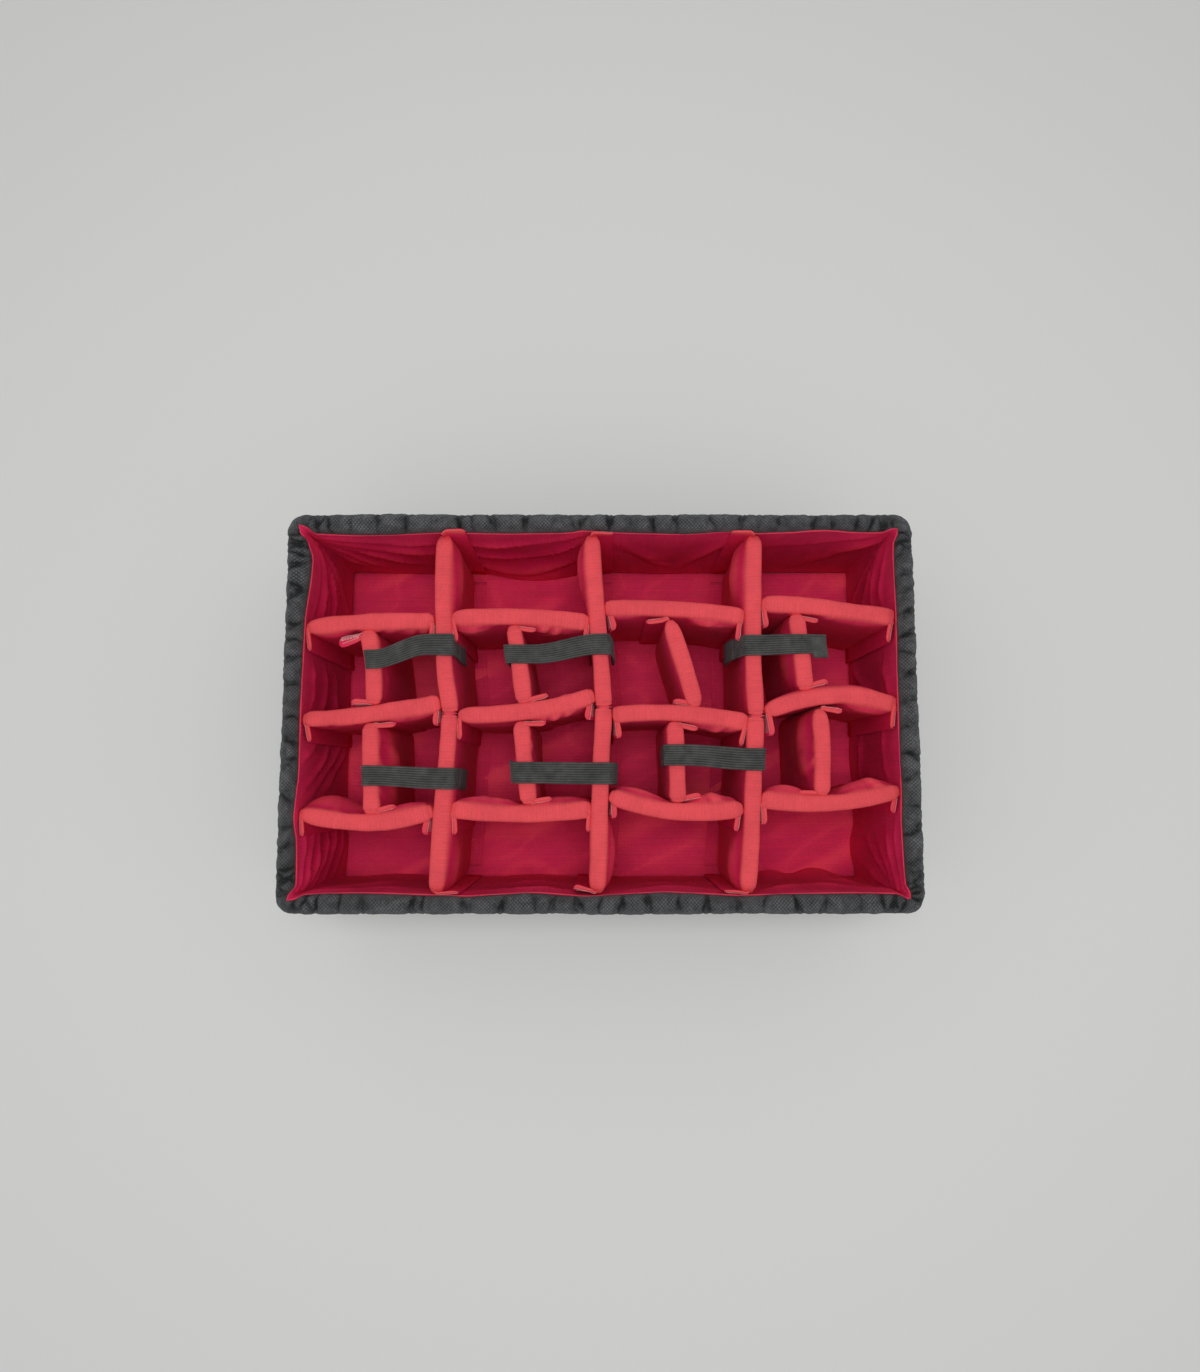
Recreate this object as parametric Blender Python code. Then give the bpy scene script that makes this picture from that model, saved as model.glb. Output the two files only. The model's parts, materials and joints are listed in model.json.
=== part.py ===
"""Padded divider set for a hard transport case.

A foam liner box with a black nylon outside and a red loop-fabric lining holds three long
dividers, twelve cross dividers, eight short dividers and six elastic straps. Every divider is
a flat foam pad in a fabric sleeve, with hook tabs sewn to its ends that fold along the face of
the piece it hooks to. X runs along the liner, Y from its front to its back, Z up, in metres.
"""

import math

import bmesh
import bpy
from mathutils import Vector

# Liner box
LINER_LENGTH = 0.712
LINER_WIDTH = 0.448
LINER_HEIGHT = 0.222
CORNER_RADIUS = 0.022
INNER_CORNER_RADIUS = 0.002
WALL_FOAM = 0.0165
FLOOR_FOAM = 0.0065
BASE_THICKNESS = 0.002
BASE_EDGE = 0.0007
NYLON_THICKNESS = 0.001
LINING_THICKNESS = 0.001
ROLL_RADIUS = 0.008
LIP_DEPTH = 0.0035

# Dividers
DIVIDER_THICKNESS = 0.017
RIM_DROP = 0.010
PAD_EDGE_RADIUS = 0.005
JOINT_WIDTH = 0.006
JOINT_EDGE_THICKNESS = 0.0095
JOINT_WAIST_THICKNESS = 0.0032
JOINT_INSET = 0.003

# Hook tabs at the dividers' ends
TAB_THICKNESS = 0.0016
TAB_REACH = 0.013
TAB_INSET = 0.006
TAB_PROUD = 0.0004
SWING_EASE = 0.0015
FOLD_MARGIN = 0.001

# Elastic straps
STRAP_WIDTH = 0.025
STRAP_THICKNESS = 0.002
STRAP_DROP = 0.075
STRAP_BEND_RADIUS = 0.003
LOOSE_TAB_LENGTH = 0.019
LOOSE_TAB_SINK = 0.005
FLIP_EASE = 0.0007

# Running and seating clearance between separate pieces
GAP = 0.0003

# Facets
ROLL_STEPS = 4
CORNER_STEPS = 3
EDGE_STEPS = 2
TAB_STEPS = 3
STRAP_BEND_STEPS = 3
PAD_END_ANGLES = (15, 45, 90)
STRAP_END_ANGLES = (15, 50, 90)
JOINT_RING_SHARES = (-1, -0.5, 0, 0.5, 1)
FACET_SAG = 0.00012

# What follows from the sizes above
WALL = NYLON_THICKNESS + GAP + WALL_FOAM + GAP + LINING_THICKNESS
INNER_LENGTH = LINER_LENGTH - 2 * WALL
INNER_WIDTH = LINER_WIDTH - 2 * WALL
FOAM_BASE = BASE_THICKNESS + GAP
LINING_BASE = FOAM_BASE + FLOOR_FOAM + GAP
FLOOR_TOP = LINING_BASE + LINING_THICKNESS
PAD_BASE = FLOOR_TOP + GAP
PAD_TOP = LINER_HEIGHT - RIM_DROP
LIP_EDGE = LINER_HEIGHT - ROLL_RADIUS - LIP_DEPTH

# Long dividers: X of the back end, the joint and the front end as shares of the inner length,
# Y of the joint as a share of the inner width, bows as shares of each half's length, and the
# side that each end's tab folds to.
LONG_SHARES = {
    "left_long": ((-0.267, -0.252, -0.270), -0.008, (-0.023, 0.0), (1, 1)),
    "middle_long": ((-0.016, 0.007, -0.0045), 0.009, (0.0, 0.0), (1, -1)),
    "right_long": ((0.262, 0.2625, 0.2425), -0.015, (-0.010, 0.0), (-1, -1)),
}

# Cross dividers, by row and column: Y of the left and right ends as shares of the inner width,
# and the bow towards the back as a share of the divider's length.
CROSS_SHARES = {
    "back_cross": (
        (0.231, 0.2465, 0.029),
        (0.257, 0.2465, 0.026),
        (0.288, 0.2605, 0.030),
        (0.297, 0.2555, 0.025),
    ),
    "middle_cross": (
        (-0.022, 0.025, -0.032),
        (-0.015, 0.041, -0.046),
        (-0.011, -0.035, 0.041),
        (-0.004, 0.015, 0.094),
    ),
    "front_cross": (
        (-0.279, -0.275, -0.085),
        (-0.273, -0.266, -0.033),
        (-0.229, -0.266, -0.078),
        (-0.246, -0.215, -0.063),
    ),
}

# Short dividers, by row and column: X of the back and front ends as shares of the inner
# length, the bow to the right as a share of the length, and the sides of the two tabs.
SHORT_SHARES = {
    "back_short": (
        (-0.3875, -0.371, 0.030, -1, -1),
        (-0.148, -0.1255, 0.0, 1, 1),
        (0.118, 0.162, 0.0, -1, -1),
        (0.332, 0.347, 0.0, 1, 1),
    ),
    "front_short": (
        (-0.384, -0.378, 0.0, 1, 1),
        (-0.132, -0.119, 0.0, 1, 1),
        (0.1255, 0.129, 0.0, 1, 1),
        (0.368, 0.369, 0.0, 1, -1),
    ),
}
SWINGING = {"back_short_3", "front_short_4"}

# Straps: the row and column of the short divider, its long divider, the way from one to the
# other, and Y at both ends as shares of the inner width.
STRAP_SHARES = {
    "back_strap_1": ("back_short", 0, "left_long", 1, 0.140, 0.160),
    "back_strap_2": ("back_short", 1, "middle_long", 1, 0.150, 0.162),
    "back_strap_4": ("back_short", 3, "right_long", -1, 0.168, 0.166),
    "front_strap_1": ("front_short", 0, "left_long", 1, -0.179, -0.187),
    "front_strap_2": ("front_short", 1, "middle_long", 1, -0.171, -0.173),
    "front_strap_3": ("front_short", 2, "right_long", 1, -0.123, -0.135),
}
LOOSE_TAB_STRAPS = {"back_strap_4"}

# The long divider that carries each column when it is lifted out
COLUMN_CARRIER = ("left_long", "middle_long", "right_long", "right_long")

RED_FABRIC = ("red_loop_fabric", (0.56, 0.035, 0.055), 0.92)
BLACK_NYLON = ("black_nylon", (0.035, 0.038, 0.038), 0.62)
BLACK_ELASTIC = ("black_elastic", (0.028, 0.030, 0.029), 0.85)
GREY_FOAM = ("grey_foam", (0.10, 0.10, 0.105), 0.95)


def clear_scene():
    for obj in list(bpy.data.objects):
        bpy.data.objects.remove(obj, do_unlink=True)


def make_material(name, colour, roughness):
    """A plain cloth or foam finish of its own for one piece."""
    material = bpy.data.materials.new(name)
    material.use_nodes = True
    shader = material.node_tree.nodes["Principled BSDF"]
    shader.inputs["Base Color"].default_value = (*colour, 1.0)
    shader.inputs["Roughness"].default_value = roughness
    shader.inputs["Metallic"].default_value = 0.0
    return material


def loft_mesh(name, rings):
    """A closed mesh through rings of equally many points, capped at both ends."""
    mesh = bmesh.new()
    rows = [[mesh.verts.new(point) for point in ring] for ring in rings]
    for row, following in zip(rows, rows[1:]):
        for i in range(len(row)):
            j = (i + 1) % len(row)
            mesh.faces.new((row[i], row[j], following[j], following[i]))
    mesh.faces.new(reversed(rows[0]))
    mesh.faces.new(rows[-1])
    bmesh.ops.recalc_face_normals(mesh, faces=mesh.faces)
    data = bpy.data.meshes.new(name)
    mesh.to_mesh(data)
    mesh.free()
    return data


def add_piece(name, rings, finish, origin=(0, 0, 0), parent=None):
    """An object lofted through world-space rings, with its origin where it is asked for."""
    origin = Vector(origin)
    local = [[Vector(point) - origin for point in ring] for ring in rings]
    obj = bpy.data.objects.new(name, loft_mesh(name, local))
    bpy.context.collection.objects.link(obj)
    material_name, colour, roughness = finish
    obj.data.materials.append(make_material(f"{name}_{material_name}", colour, roughness))
    hang_on(obj, origin, parent)
    smooth(obj)
    return obj


def add_empty(name, origin):
    empty = bpy.data.objects.new(name, None)
    bpy.context.collection.objects.link(empty)
    hang_on(empty, Vector(origin), None)
    return empty


def hang_on(obj, origin, parent):
    """Sets the object's place in the world, kept under its parent."""
    obj["world_origin"] = tuple(origin)
    obj.location = origin
    if parent:
        obj.parent = parent
        obj.location = origin - Vector(parent["world_origin"])


def smooth(obj):
    obj.data.shade_smooth()
    obj.data.set_sharp_from_angle(angle=math.radians(40))


def fuse(target, tab_rings):
    """Sews tabs to a pad: one closed body, joined by a Boolean union for each tab."""
    helpers = []
    for number, rings in enumerate(tab_rings):
        origin = Vector(target["world_origin"])
        local = [[Vector(point) - origin for point in ring] for ring in rings]
        helper = bpy.data.objects.new(f"{target.name}_tab_{number}", loft_mesh("tab", local))
        bpy.context.collection.objects.link(helper)
        helper.matrix_world = target.matrix_world
        helper.parent = target
        helper.matrix_parent_inverse.identity()
        helper.matrix_basis.identity()
        helper.hide_render = True
        helper.display_type = "WIRE"
        join = target.modifiers.new(f"tab_{number}", "BOOLEAN")
        join.operation = "UNION"
        join.solver = "EXACT"
        join.object = helper
        helpers.append(helper)
    bpy.context.view_layer.update()
    evaluated = target.evaluated_get(bpy.context.evaluated_depsgraph_get())
    joined = bpy.data.meshes.new_from_object(evaluated)
    joined.name = target.name
    target.modifiers.clear()
    target.data = joined
    for helper in helpers:
        bpy.data.objects.remove(helper, do_unlink=True)
    smooth(target)


def bow_at(share, bow):
    """A parabola that is 0 at both ends and bow in the middle."""
    return 4 * bow * share * (1 - share)


def bow_slope(share, bow):
    return 4 * bow * (1 - 2 * share)


class LinerSide:
    """The lining's face on the left or right wall, seen as a host for hook tabs."""

    def __init__(self, side):
        self.x = side * INNER_LENGTH / 2

    def face_x(self, y, side):
        return self.x


class LongDivider:
    """The plan of a long divider: two foam halves that meet at a sewn joint."""

    def __init__(self, x_shares, joint_share, bow_shares, tab_sides):
        self.back_x, self.joint_x, self.front_x = (s * INNER_LENGTH for s in x_shares)
        self.joint_y = joint_share * INNER_WIDTH
        self.back_y = INNER_WIDTH / 2 - GAP - TAB_PROUD
        self.front_y = -self.back_y
        self.bow_shares = bow_shares
        self.tab_sides = tab_sides

    def centre_x(self, y):
        if y > self.joint_y:
            end_x, end_y, bow_share = self.back_x, self.back_y, self.bow_shares[0]
        else:
            end_x, end_y, bow_share = self.front_x, self.front_y, self.bow_shares[1]
        length = abs(end_y - self.joint_y)
        share = abs(y - self.joint_y) / length
        straight = self.joint_x + share * (end_x - self.joint_x)
        return straight + bow_at(share, bow_share * length)

    def half_thickness(self, y):
        return DIVIDER_THICKNESS / 2

    def face_x(self, y, side):
        return self.centre_x(y) + side * self.half_thickness(y)


class CrossDivider:
    """The plan of a cross divider, bowed between the faces of its two hosts."""

    def __init__(self, left_host, right_host, left_share, right_share, bow_share):
        self.left_host, self.right_host = left_host, right_host
        self.left_y, self.right_y = left_share * INNER_WIDTH, right_share * INNER_WIDTH
        self.left_x, _ = self.ends_at(self.left_y)
        _, self.right_x = self.ends_at(self.right_y)
        self.length = self.right_x - self.left_x
        self.bow = bow_share * self.length

    def ends_at(self, y):
        """Both ends in X at this Y, so that each end lies along its host's face."""
        seat = GAP + TAB_PROUD
        return self.left_host.face_x(y, 1) + seat, self.right_host.face_x(y, -1) - seat

    def centre_y(self, x):
        share = (x - self.left_x) / self.length
        straight = self.left_y + share * (self.right_y - self.left_y)
        return straight + bow_at(share, self.bow)

    def half_thickness(self, x):
        share = (x - self.left_x) / self.length
        slope = (self.right_y - self.left_y + bow_slope(share, self.bow)) / self.length
        return DIVIDER_THICKNESS / 2 * math.hypot(1, slope)

    def face_y(self, x, side):
        return self.centre_y(x) + side * self.half_thickness(x)


class ShortDivider:
    """The plan of a short divider between two cross dividers of one column."""

    def __init__(self, back_host, front_host, back_share, front_share, bow_share, tabs, swings):
        self.back_host, self.front_host = back_host, front_host
        self.back_tab, self.front_tab = tabs
        self.swings = swings
        self.back_x, self.front_x = back_share * INNER_LENGTH, front_share * INNER_LENGTH
        self.back_y, _ = self.ends_at(self.back_x)
        _, self.front_y = self.ends_at(self.front_x)
        self.pivot_y = back_host.face_y(self.back_x, -1) - GAP - TAB_THICKNESS
        self.length = self.back_y - self.front_y
        self.bow = bow_share * self.length

    def ends_at(self, x):
        """Both ends in Y at this X. A pad that swings keeps its distance from its fold line."""
        seat = GAP + (TAB_THICKNESS + SWING_EASE if self.swings else TAB_PROUD)
        back_y = self.back_host.face_y(x, -1) - seat
        return back_y, self.front_host.face_y(x, 1) + GAP + TAB_PROUD

    def centre_x(self, y):
        share = (self.back_y - y) / self.length
        straight = self.back_x + share * (self.front_x - self.back_x)
        return straight + bow_at(share, self.bow)

    def half_thickness(self, y):
        share = (self.back_y - y) / self.length
        slope = (self.front_x - self.back_x + bow_slope(share, self.bow)) / self.length
        return DIVIDER_THICKNESS / 2 * math.hypot(1, slope)

    def face_x(self, y, side):
        return self.centre_x(y) + side * self.half_thickness(y)


def section(half_width, inset):
    """The pad's section, as (across, height) pairs: a rectangle with rounded corners."""
    radius = PAD_EDGE_RADIUS - inset
    across = half_width - PAD_EDGE_RADIUS
    low, high = PAD_BASE + PAD_EDGE_RADIUS, PAD_TOP - PAD_EDGE_RADIUS
    points = []
    for corner, (u, z) in enumerate(((across, high), (-across, high), (-across, low), (across, low))):
        for step in range(EDGE_STEPS + 1):
            angle = math.pi / 2 * (corner + step / EDGE_STEPS)
            points.append((u + radius * math.cos(angle), z + radius * math.sin(angle)))
    return points


def stations(start, end, bow):
    """Places along a pad with the inset of its rounded ends there, closer on a bowed pad."""
    inner_count = max(1, math.ceil(math.sqrt(abs(bow) / FACET_SAG)) - 1)
    way = 1 if end > start else -1
    places = []
    for degrees in PAD_END_ANGLES:
        angle = math.radians(degrees)
        ahead = PAD_EDGE_RADIUS * (1 - math.cos(angle))
        places.append((ahead, PAD_EDGE_RADIUS * (1 - math.sin(angle))))
    length = abs(end - start)
    flat = length - 2 * PAD_EDGE_RADIUS
    inner = [(PAD_EDGE_RADIUS + flat * (i + 1) / (inner_count + 1), 0) for i in range(inner_count)]
    far = [(length - ahead, inset) for ahead, inset in reversed(places)]
    return [(start + way * ahead, inset) for ahead, inset in places + inner + far]


def cross_pad_rings(plan):
    rings = []
    for place, inset in stations(plan.left_x, plan.right_x, plan.bow):
        share = (place - plan.left_x) / plan.length
        ring = []
        for across, z in section(plan.half_thickness(place), inset):
            y = plan.centre_y(place) + across
            left, right = plan.ends_at(y)
            ring.append((left + share * (right - left), y, z))
        rings.append(ring)
    return rings


def short_pad_rings(plan):
    rings = []
    for place, inset in stations(plan.back_y, plan.front_y, plan.bow):
        share = (plan.back_y - place) / plan.length
        ring = []
        for across, z in section(plan.half_thickness(place), inset):
            x = plan.centre_x(place) + across
            back, front = plan.ends_at(x)
            ring.append((x, back + share * (front - back), z))
        rings.append(ring)
    return rings


def long_pad_rings(plan, start, end, bow_share):
    rings = []
    for y, inset in stations(start, end, bow_share * (end - start)):
        pairs = section(plan.half_thickness(y), inset)
        rings.append([(plan.centre_x(y) + across, y, z) for across, z in pairs])
    return rings


def tab_places(start, end):
    """Evenly spaced places along a tab, so that it follows a bowed face."""
    return [start + (end - start) * i / TAB_STEPS for i in range(TAB_STEPS + 1)]


def tab_strip(places, near, far, upright):
    """A flat hook tab along a host's face. near and far give its two faces at each place."""
    low, high = PAD_BASE + TAB_INSET, PAD_TOP - TAB_INSET
    rings = []
    for place in places:
        ring = []
        for across, z in ((near(place), low), (far(place), low), (far(place), high), (near(place), high)):
            ring.append((across, place, z) if upright else (place, across, z))
        rings.append(ring)
    return rings


def tab_on_x_face(host, side, start, end):
    """A tab on a face that runs along Y, such as a long divider's, from start to end in Y."""
    places = tab_places(start, end)
    return tab_strip(
        places,
        lambda y: host.face_x(y, side) + side * GAP,
        lambda y: host.face_x(y, side) + side * (GAP + TAB_THICKNESS),
        True,
    )


def tab_on_y_face(face_y, side, start, end):
    """A tab on a face that runs along X, from start to end in X."""
    places = tab_places(start, end)
    return tab_strip(
        places,
        lambda x: face_y(x) + side * GAP,
        lambda x: face_y(x) + side * (GAP + TAB_THICKNESS),
        False,
    )


def outline_point(depth, quarter, angle):
    """A point on the liner's plan outline, depth inside its outer face, in a rounded corner."""
    radius = max(CORNER_RADIUS - depth, INNER_CORNER_RADIUS)
    sign_x, sign_y = ((1, 1), (-1, 1), (-1, -1), (1, -1))[quarter]
    centre_x = sign_x * (LINER_LENGTH / 2 - depth - radius)
    centre_y = sign_y * (LINER_WIDTH / 2 - depth - radius)
    turn = math.pi / 2 * quarter + angle
    return centre_x + radius * math.cos(turn), centre_y + radius * math.sin(turn)


def full_outline(depth):
    points = []
    for quarter in range(4):
        for step in range(CORNER_STEPS * 2 + 1):
            points.append(outline_point(depth, quarter, math.pi / 4 * step / CORNER_STEPS))
    return points


def plate_rings(depth, levels):
    """Rings of a flat sheet of the liner's outline, at (height, extra inset) levels."""
    return [[(x, y, z) for x, y in full_outline(depth + inset)] for z, inset in levels]


# The walls anticlockwise: each starts in the corner of its own number and ends in the next
WALLS = ("back", "left", "front", "right")


def wall_rings(wall, profile):
    """Sweeps a (depth, height) profile along one wall, mitred at the middle of both corners."""
    first = WALLS.index(wall)
    last = (first + 1) % len(WALLS)
    eighth = math.pi / 4
    steps = [(first, eighth + eighth * i / CORNER_STEPS) for i in range(CORNER_STEPS + 1)]
    steps += [(last, eighth * i / CORNER_STEPS) for i in range(CORNER_STEPS + 1)]
    along = {"back": (-1, 0), "left": (0, -1), "front": (1, 0), "right": (0, 1)}[wall]
    rings = []
    for number, (quarter, angle) in enumerate(steps):
        shift = GAP if number == 0 else -GAP if number == len(steps) - 1 else 0
        ring = []
        for depth, z in profile:
            x, y = outline_point(depth, quarter, angle)
            ring.append((x + shift * along[0], y + shift * along[1], z))
        rings.append(ring)
    return rings


def roll(depth, height, radius, first_turn):
    """A quarter turn of the profile over a wall's top, centred on (depth, height)."""
    turns = [first_turn + i / ROLL_STEPS for i in range(ROLL_STEPS + 1)]
    return [
        (depth - radius * math.cos(math.pi / 2 * t), height + radius * math.sin(math.pi / 2 * t))
        for t in turns
    ]


def nylon_profile():
    """Up the outside, over the puffed top and down to the seam with the red lining."""
    centre = LINER_HEIGHT - ROLL_RADIUS
    under = ROLL_RADIUS - NYLON_THICKNESS
    outer = [(0, FOAM_BASE)] + roll(ROLL_RADIUS, centre, ROLL_RADIUS, 0)
    outer += roll(WALL - ROLL_RADIUS, centre, ROLL_RADIUS, 1) + [(WALL, LIP_EDGE)]
    inner = [(NYLON_THICKNESS, FOAM_BASE)] + roll(ROLL_RADIUS, centre, under, 0)
    inner += roll(WALL - ROLL_RADIUS, centre, under, 1) + [(WALL - NYLON_THICKNESS, LIP_EDGE)]
    return outer + inner[::-1]


def foam_profile():
    skin = NYLON_THICKNESS + GAP
    centre = LINER_HEIGHT - ROLL_RADIUS
    radius = ROLL_RADIUS - skin
    far = skin + WALL_FOAM
    points = [(skin, FOAM_BASE)] + roll(ROLL_RADIUS, centre, radius, 0)
    return points + roll(far - radius, centre, radius, 1) + [(far, FOAM_BASE)]


def lining_profile():
    inner = WALL - LINING_THICKNESS
    return [(inner, PAD_BASE), (inner, LIP_EDGE - GAP), (WALL, LIP_EDGE - GAP), (WALL, PAD_BASE)]


def build_liner():
    """The liner box: base, floor and four padded walls, each with its cover and its lining."""
    base_levels = (
        (0, BASE_EDGE),
        (BASE_EDGE, 0),
        (BASE_THICKNESS, 0),
    )
    add_piece("base_panel", plate_rings(0, base_levels), BLACK_NYLON)
    inside = WALL - LINING_THICKNESS
    foam_levels = ((FOAM_BASE, 0), (FOAM_BASE + FLOOR_FOAM, 0))
    add_piece("floor_foam", plate_rings(inside, foam_levels), GREY_FOAM)
    lining_levels = ((LINING_BASE, 0), (FLOOR_TOP, 0))
    add_piece("floor_lining", plate_rings(inside, lining_levels), RED_FABRIC)
    for wall in WALLS:
        add_piece(f"{wall}_wall_foam", wall_rings(wall, foam_profile()), GREY_FOAM)
        add_piece(f"{wall}_nylon_cover", wall_rings(wall, nylon_profile()), BLACK_NYLON)
        add_piece(f"{wall}_wall_lining", wall_rings(wall, lining_profile()), RED_FABRIC)


def joint_rings(plan):
    """The sewn joint of a long divider: fabric pinched to a waist between the two halves."""
    reach = JOINT_WIDTH / 2 - GAP
    low, high = PAD_BASE + JOINT_INSET, PAD_TOP - JOINT_INSET
    rings = []
    for share in JOINT_RING_SHARES:
        y = plan.joint_y + share * reach
        waist = JOINT_WAIST_THICKNESS / 2
        half = waist + (JOINT_EDGE_THICKNESS / 2 - waist) * share * share
        x = plan.centre_x(y)
        rings.append([(x - half, y, low), (x + half, y, low), (x + half, y, high), (x - half, y, high)])
    return rings


def build_long_divider(name, plan):
    """Two foam halves with a tab on the wall at each end, and the sewn joint between them."""
    carrier = add_empty(f"{name}_lift", (plan.joint_x, plan.joint_y, PAD_BASE))
    origin = carrier["world_origin"]
    half_gap = JOINT_WIDTH / 2
    ends = (("back", 1, plan.back_y, plan.back_x), ("front", -1, plan.front_y, plan.front_x))
    for number, (end, way, end_y, end_x) in enumerate(ends):
        joint_end = plan.joint_y + way * half_gap
        rings = long_pad_rings(plan, end_y, joint_end, plan.bow_shares[number])
        pad = add_piece(f"{name}_{end}_pad", rings, RED_FABRIC, origin, carrier)
        side = plan.tab_sides[number]
        reach = side * (DIVIDER_THICKNESS / 2 + TAB_REACH)
        wall_y = way * INNER_WIDTH / 2
        fuse(pad, [tab_on_y_face(lambda x, y=wall_y: y, -way, end_x, end_x + reach)])
    add_piece(f"{name}_joint", joint_rings(plan), RED_FABRIC, origin, carrier)
    return carrier


def build_cross_divider(name, plan, carrier):
    """A bowed pad whose two tabs fold towards the front along its hosts' faces."""
    middle = (plan.left_x + plan.right_x) / 2
    origin = (middle, plan.centre_y(middle), PAD_BASE)
    pad = add_piece(name, cross_pad_rings(plan), RED_FABRIC, origin, carrier)
    reach = DIVIDER_THICKNESS / 2 + TAB_REACH
    tabs = [
        tab_on_x_face(plan.left_host, 1, plan.left_y, plan.left_y - reach),
        tab_on_x_face(plan.right_host, -1, plan.right_y, plan.right_y - reach),
    ]
    fuse(pad, tabs)


def build_short_divider(name, plan, carrier):
    """A pad with a tab at each end. One that swings leaves its back tab on its host."""
    rings = short_pad_rings(plan)
    middle = (plan.back_y + plan.front_y) / 2
    origin = (plan.centre_x(middle), middle, PAD_BASE)
    reach = DIVIDER_THICKNESS / 2 + TAB_REACH
    back_face = lambda x: plan.back_host.face_y(x, -1)
    front_face = lambda x: plan.front_host.face_y(x, 1)
    start, end = plan.back_x, plan.back_x + plan.back_tab * reach
    if plan.swings:
        start -= plan.back_tab * FOLD_MARGIN
        origin = (plan.back_x, plan.pivot_y, PAD_BASE)
    back_tab = tab_on_y_face(back_face, -1, start, end)
    front_end = plan.front_x + plan.front_tab * reach
    front_tab = tab_on_y_face(front_face, 1, plan.front_x, front_end)
    if plan.swings:
        hook_tab = add_piece(f"{name}_hook_tab", back_tab, RED_FABRIC, origin, carrier)
        pad = add_piece(name, rings, RED_FABRIC, origin, hook_tab)
        fuse(pad, [front_tab])
        return pad
    pad = add_piece(name, rings, RED_FABRIC, origin, carrier)
    fuse(pad, [back_tab, front_tab])
    return pad


class Strap:
    """An elastic strap from a short divider over its top to the far face of a long divider."""

    def __init__(self, short, long, way, near_share, far_share):
        self.short, self.long, self.way = short, long, way
        self.near_y, self.far_y = near_share * INNER_WIDTH, far_share * INNER_WIDTH
        self.centre_z = PAD_TOP + GAP + STRAP_THICKNESS / 2

    def near_point(self, edge):
        """Where the fold line over the short divider's outer top edge meets a strap edge."""
        y = self.near_y + edge * STRAP_WIDTH / 2
        x = self.short.face_x(y, -self.way) - self.way * (GAP + STRAP_THICKNESS / 2)
        return x, y

    def far_point(self, edge):
        y = self.far_y + edge * STRAP_WIDTH / 2
        return self.long.face_x(y, self.way) + self.way * (GAP + STRAP_THICKNESS / 2), y

    def hinge_point(self):
        (x0, y0), (x1, y1) = self.near_point(-1), self.near_point(1)
        return (x0 + x1) / 2, (y0 + y1) / 2, self.centre_z

    def band_edge(self, edge):
        """(x, y, z, tilt, half thickness) along one edge, from the fold line to the end."""
        near_x, near_y = self.near_point(edge)
        far_x, far_y = self.far_point(edge)
        half = STRAP_THICKNESS / 2
        course = []
        for degrees in STRAP_END_ANGLES:
            angle = math.radians(degrees)
            x = near_x - self.way * half * math.cos(angle)
            course.append((x, near_y, self.centre_z, 0, half * math.sin(angle)))
        bend_x = far_x - self.way * STRAP_BEND_RADIUS
        bend_z = self.centre_z - STRAP_BEND_RADIUS
        for step in range(STRAP_BEND_STEPS + 1):
            turn = math.pi / 2 * step / STRAP_BEND_STEPS
            x = bend_x + self.way * STRAP_BEND_RADIUS * math.sin(turn)
            z = bend_z + STRAP_BEND_RADIUS * math.cos(turn)
            course.append((x, far_y, z, turn, half))
        course.append((far_x, far_y, self.centre_z - STRAP_DROP, math.pi / 2, half))
        return course

    def band_rings(self):
        rings = []
        for first, second in zip(self.band_edge(-1), self.band_edge(1)):
            ring = []
            for x, y, z, turn, half in (first, second):
                across = self.way * half * math.sin(turn)
                ring.append(((x + across, y, z + half * math.cos(turn))))
            for x, y, z, turn, half in (second, first):
                across = self.way * half * math.sin(turn)
                ring.append(((x - across, y, z - half * math.cos(turn))))
            rings.append(ring)
        return rings

    def tab_rings(self, stands_out):
        """The end tab below the fold line, or standing out past the short divider."""
        half = STRAP_THICKNESS / 2
        start = self.centre_z - half - GAP
        rings = []
        for share in (0, 1):
            ring = []
            for edge, side in ((-1, 1), (1, 1), (1, -1), (-1, -1)):
                x, y = self.near_point(edge)
                if stands_out:
                    x -= self.way * (half + FLIP_EASE + share * LOOSE_TAB_LENGTH)
                    z = self.centre_z - share * LOOSE_TAB_SINK + side * half
                else:
                    x += self.way * side * half
                    z = start - share * (STRAP_DROP - half - GAP)
                ring.append((x, y, z))
            rings.append(ring)
        return rings


def build_strap(name, strap, short_pad):
    origin = strap.hinge_point()
    rings = strap.tab_rings(name in LOOSE_TAB_STRAPS)
    tab = add_piece(f"{name}_tab", rings, BLACK_ELASTIC, origin, short_pad)
    add_piece(f"{name}_band", strap.band_rings(), BLACK_ELASTIC, origin, tab)


def plan_dividers():
    """The plans of all dividers, each row and column fitted to its hosts."""
    longs = {name: LongDivider(*shares) for name, shares in LONG_SHARES.items()}
    left, middle, right = longs.values()
    hosts = ((LinerSide(-1), left), (left, middle), (middle, right), (right, LinerSide(1)))
    crosses = {
        row: [CrossDivider(*hosts[column], *shares) for column, shares in enumerate(table)]
        for row, table in CROSS_SHARES.items()
    }
    rows = {"back_short": ("back_cross", "middle_cross"), "front_short": ("middle_cross", "front_cross")}
    shorts = {}
    for row, table in SHORT_SHARES.items():
        back_row, front_row = rows[row]
        for column, (back, front, bow, back_tab, front_tab) in enumerate(table):
            shorts[row, column] = ShortDivider(
                crosses[back_row][column],
                crosses[front_row][column],
                back,
                front,
                bow,
                (back_tab, front_tab),
                f"{row}_{column + 1}" in SWINGING,
            )
    straps = {
        name: Strap(shorts[row, column], longs[long], way, near, far)
        for name, (row, column, long, way, near, far) in STRAP_SHARES.items()
    }
    return longs, crosses, shorts, straps


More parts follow.
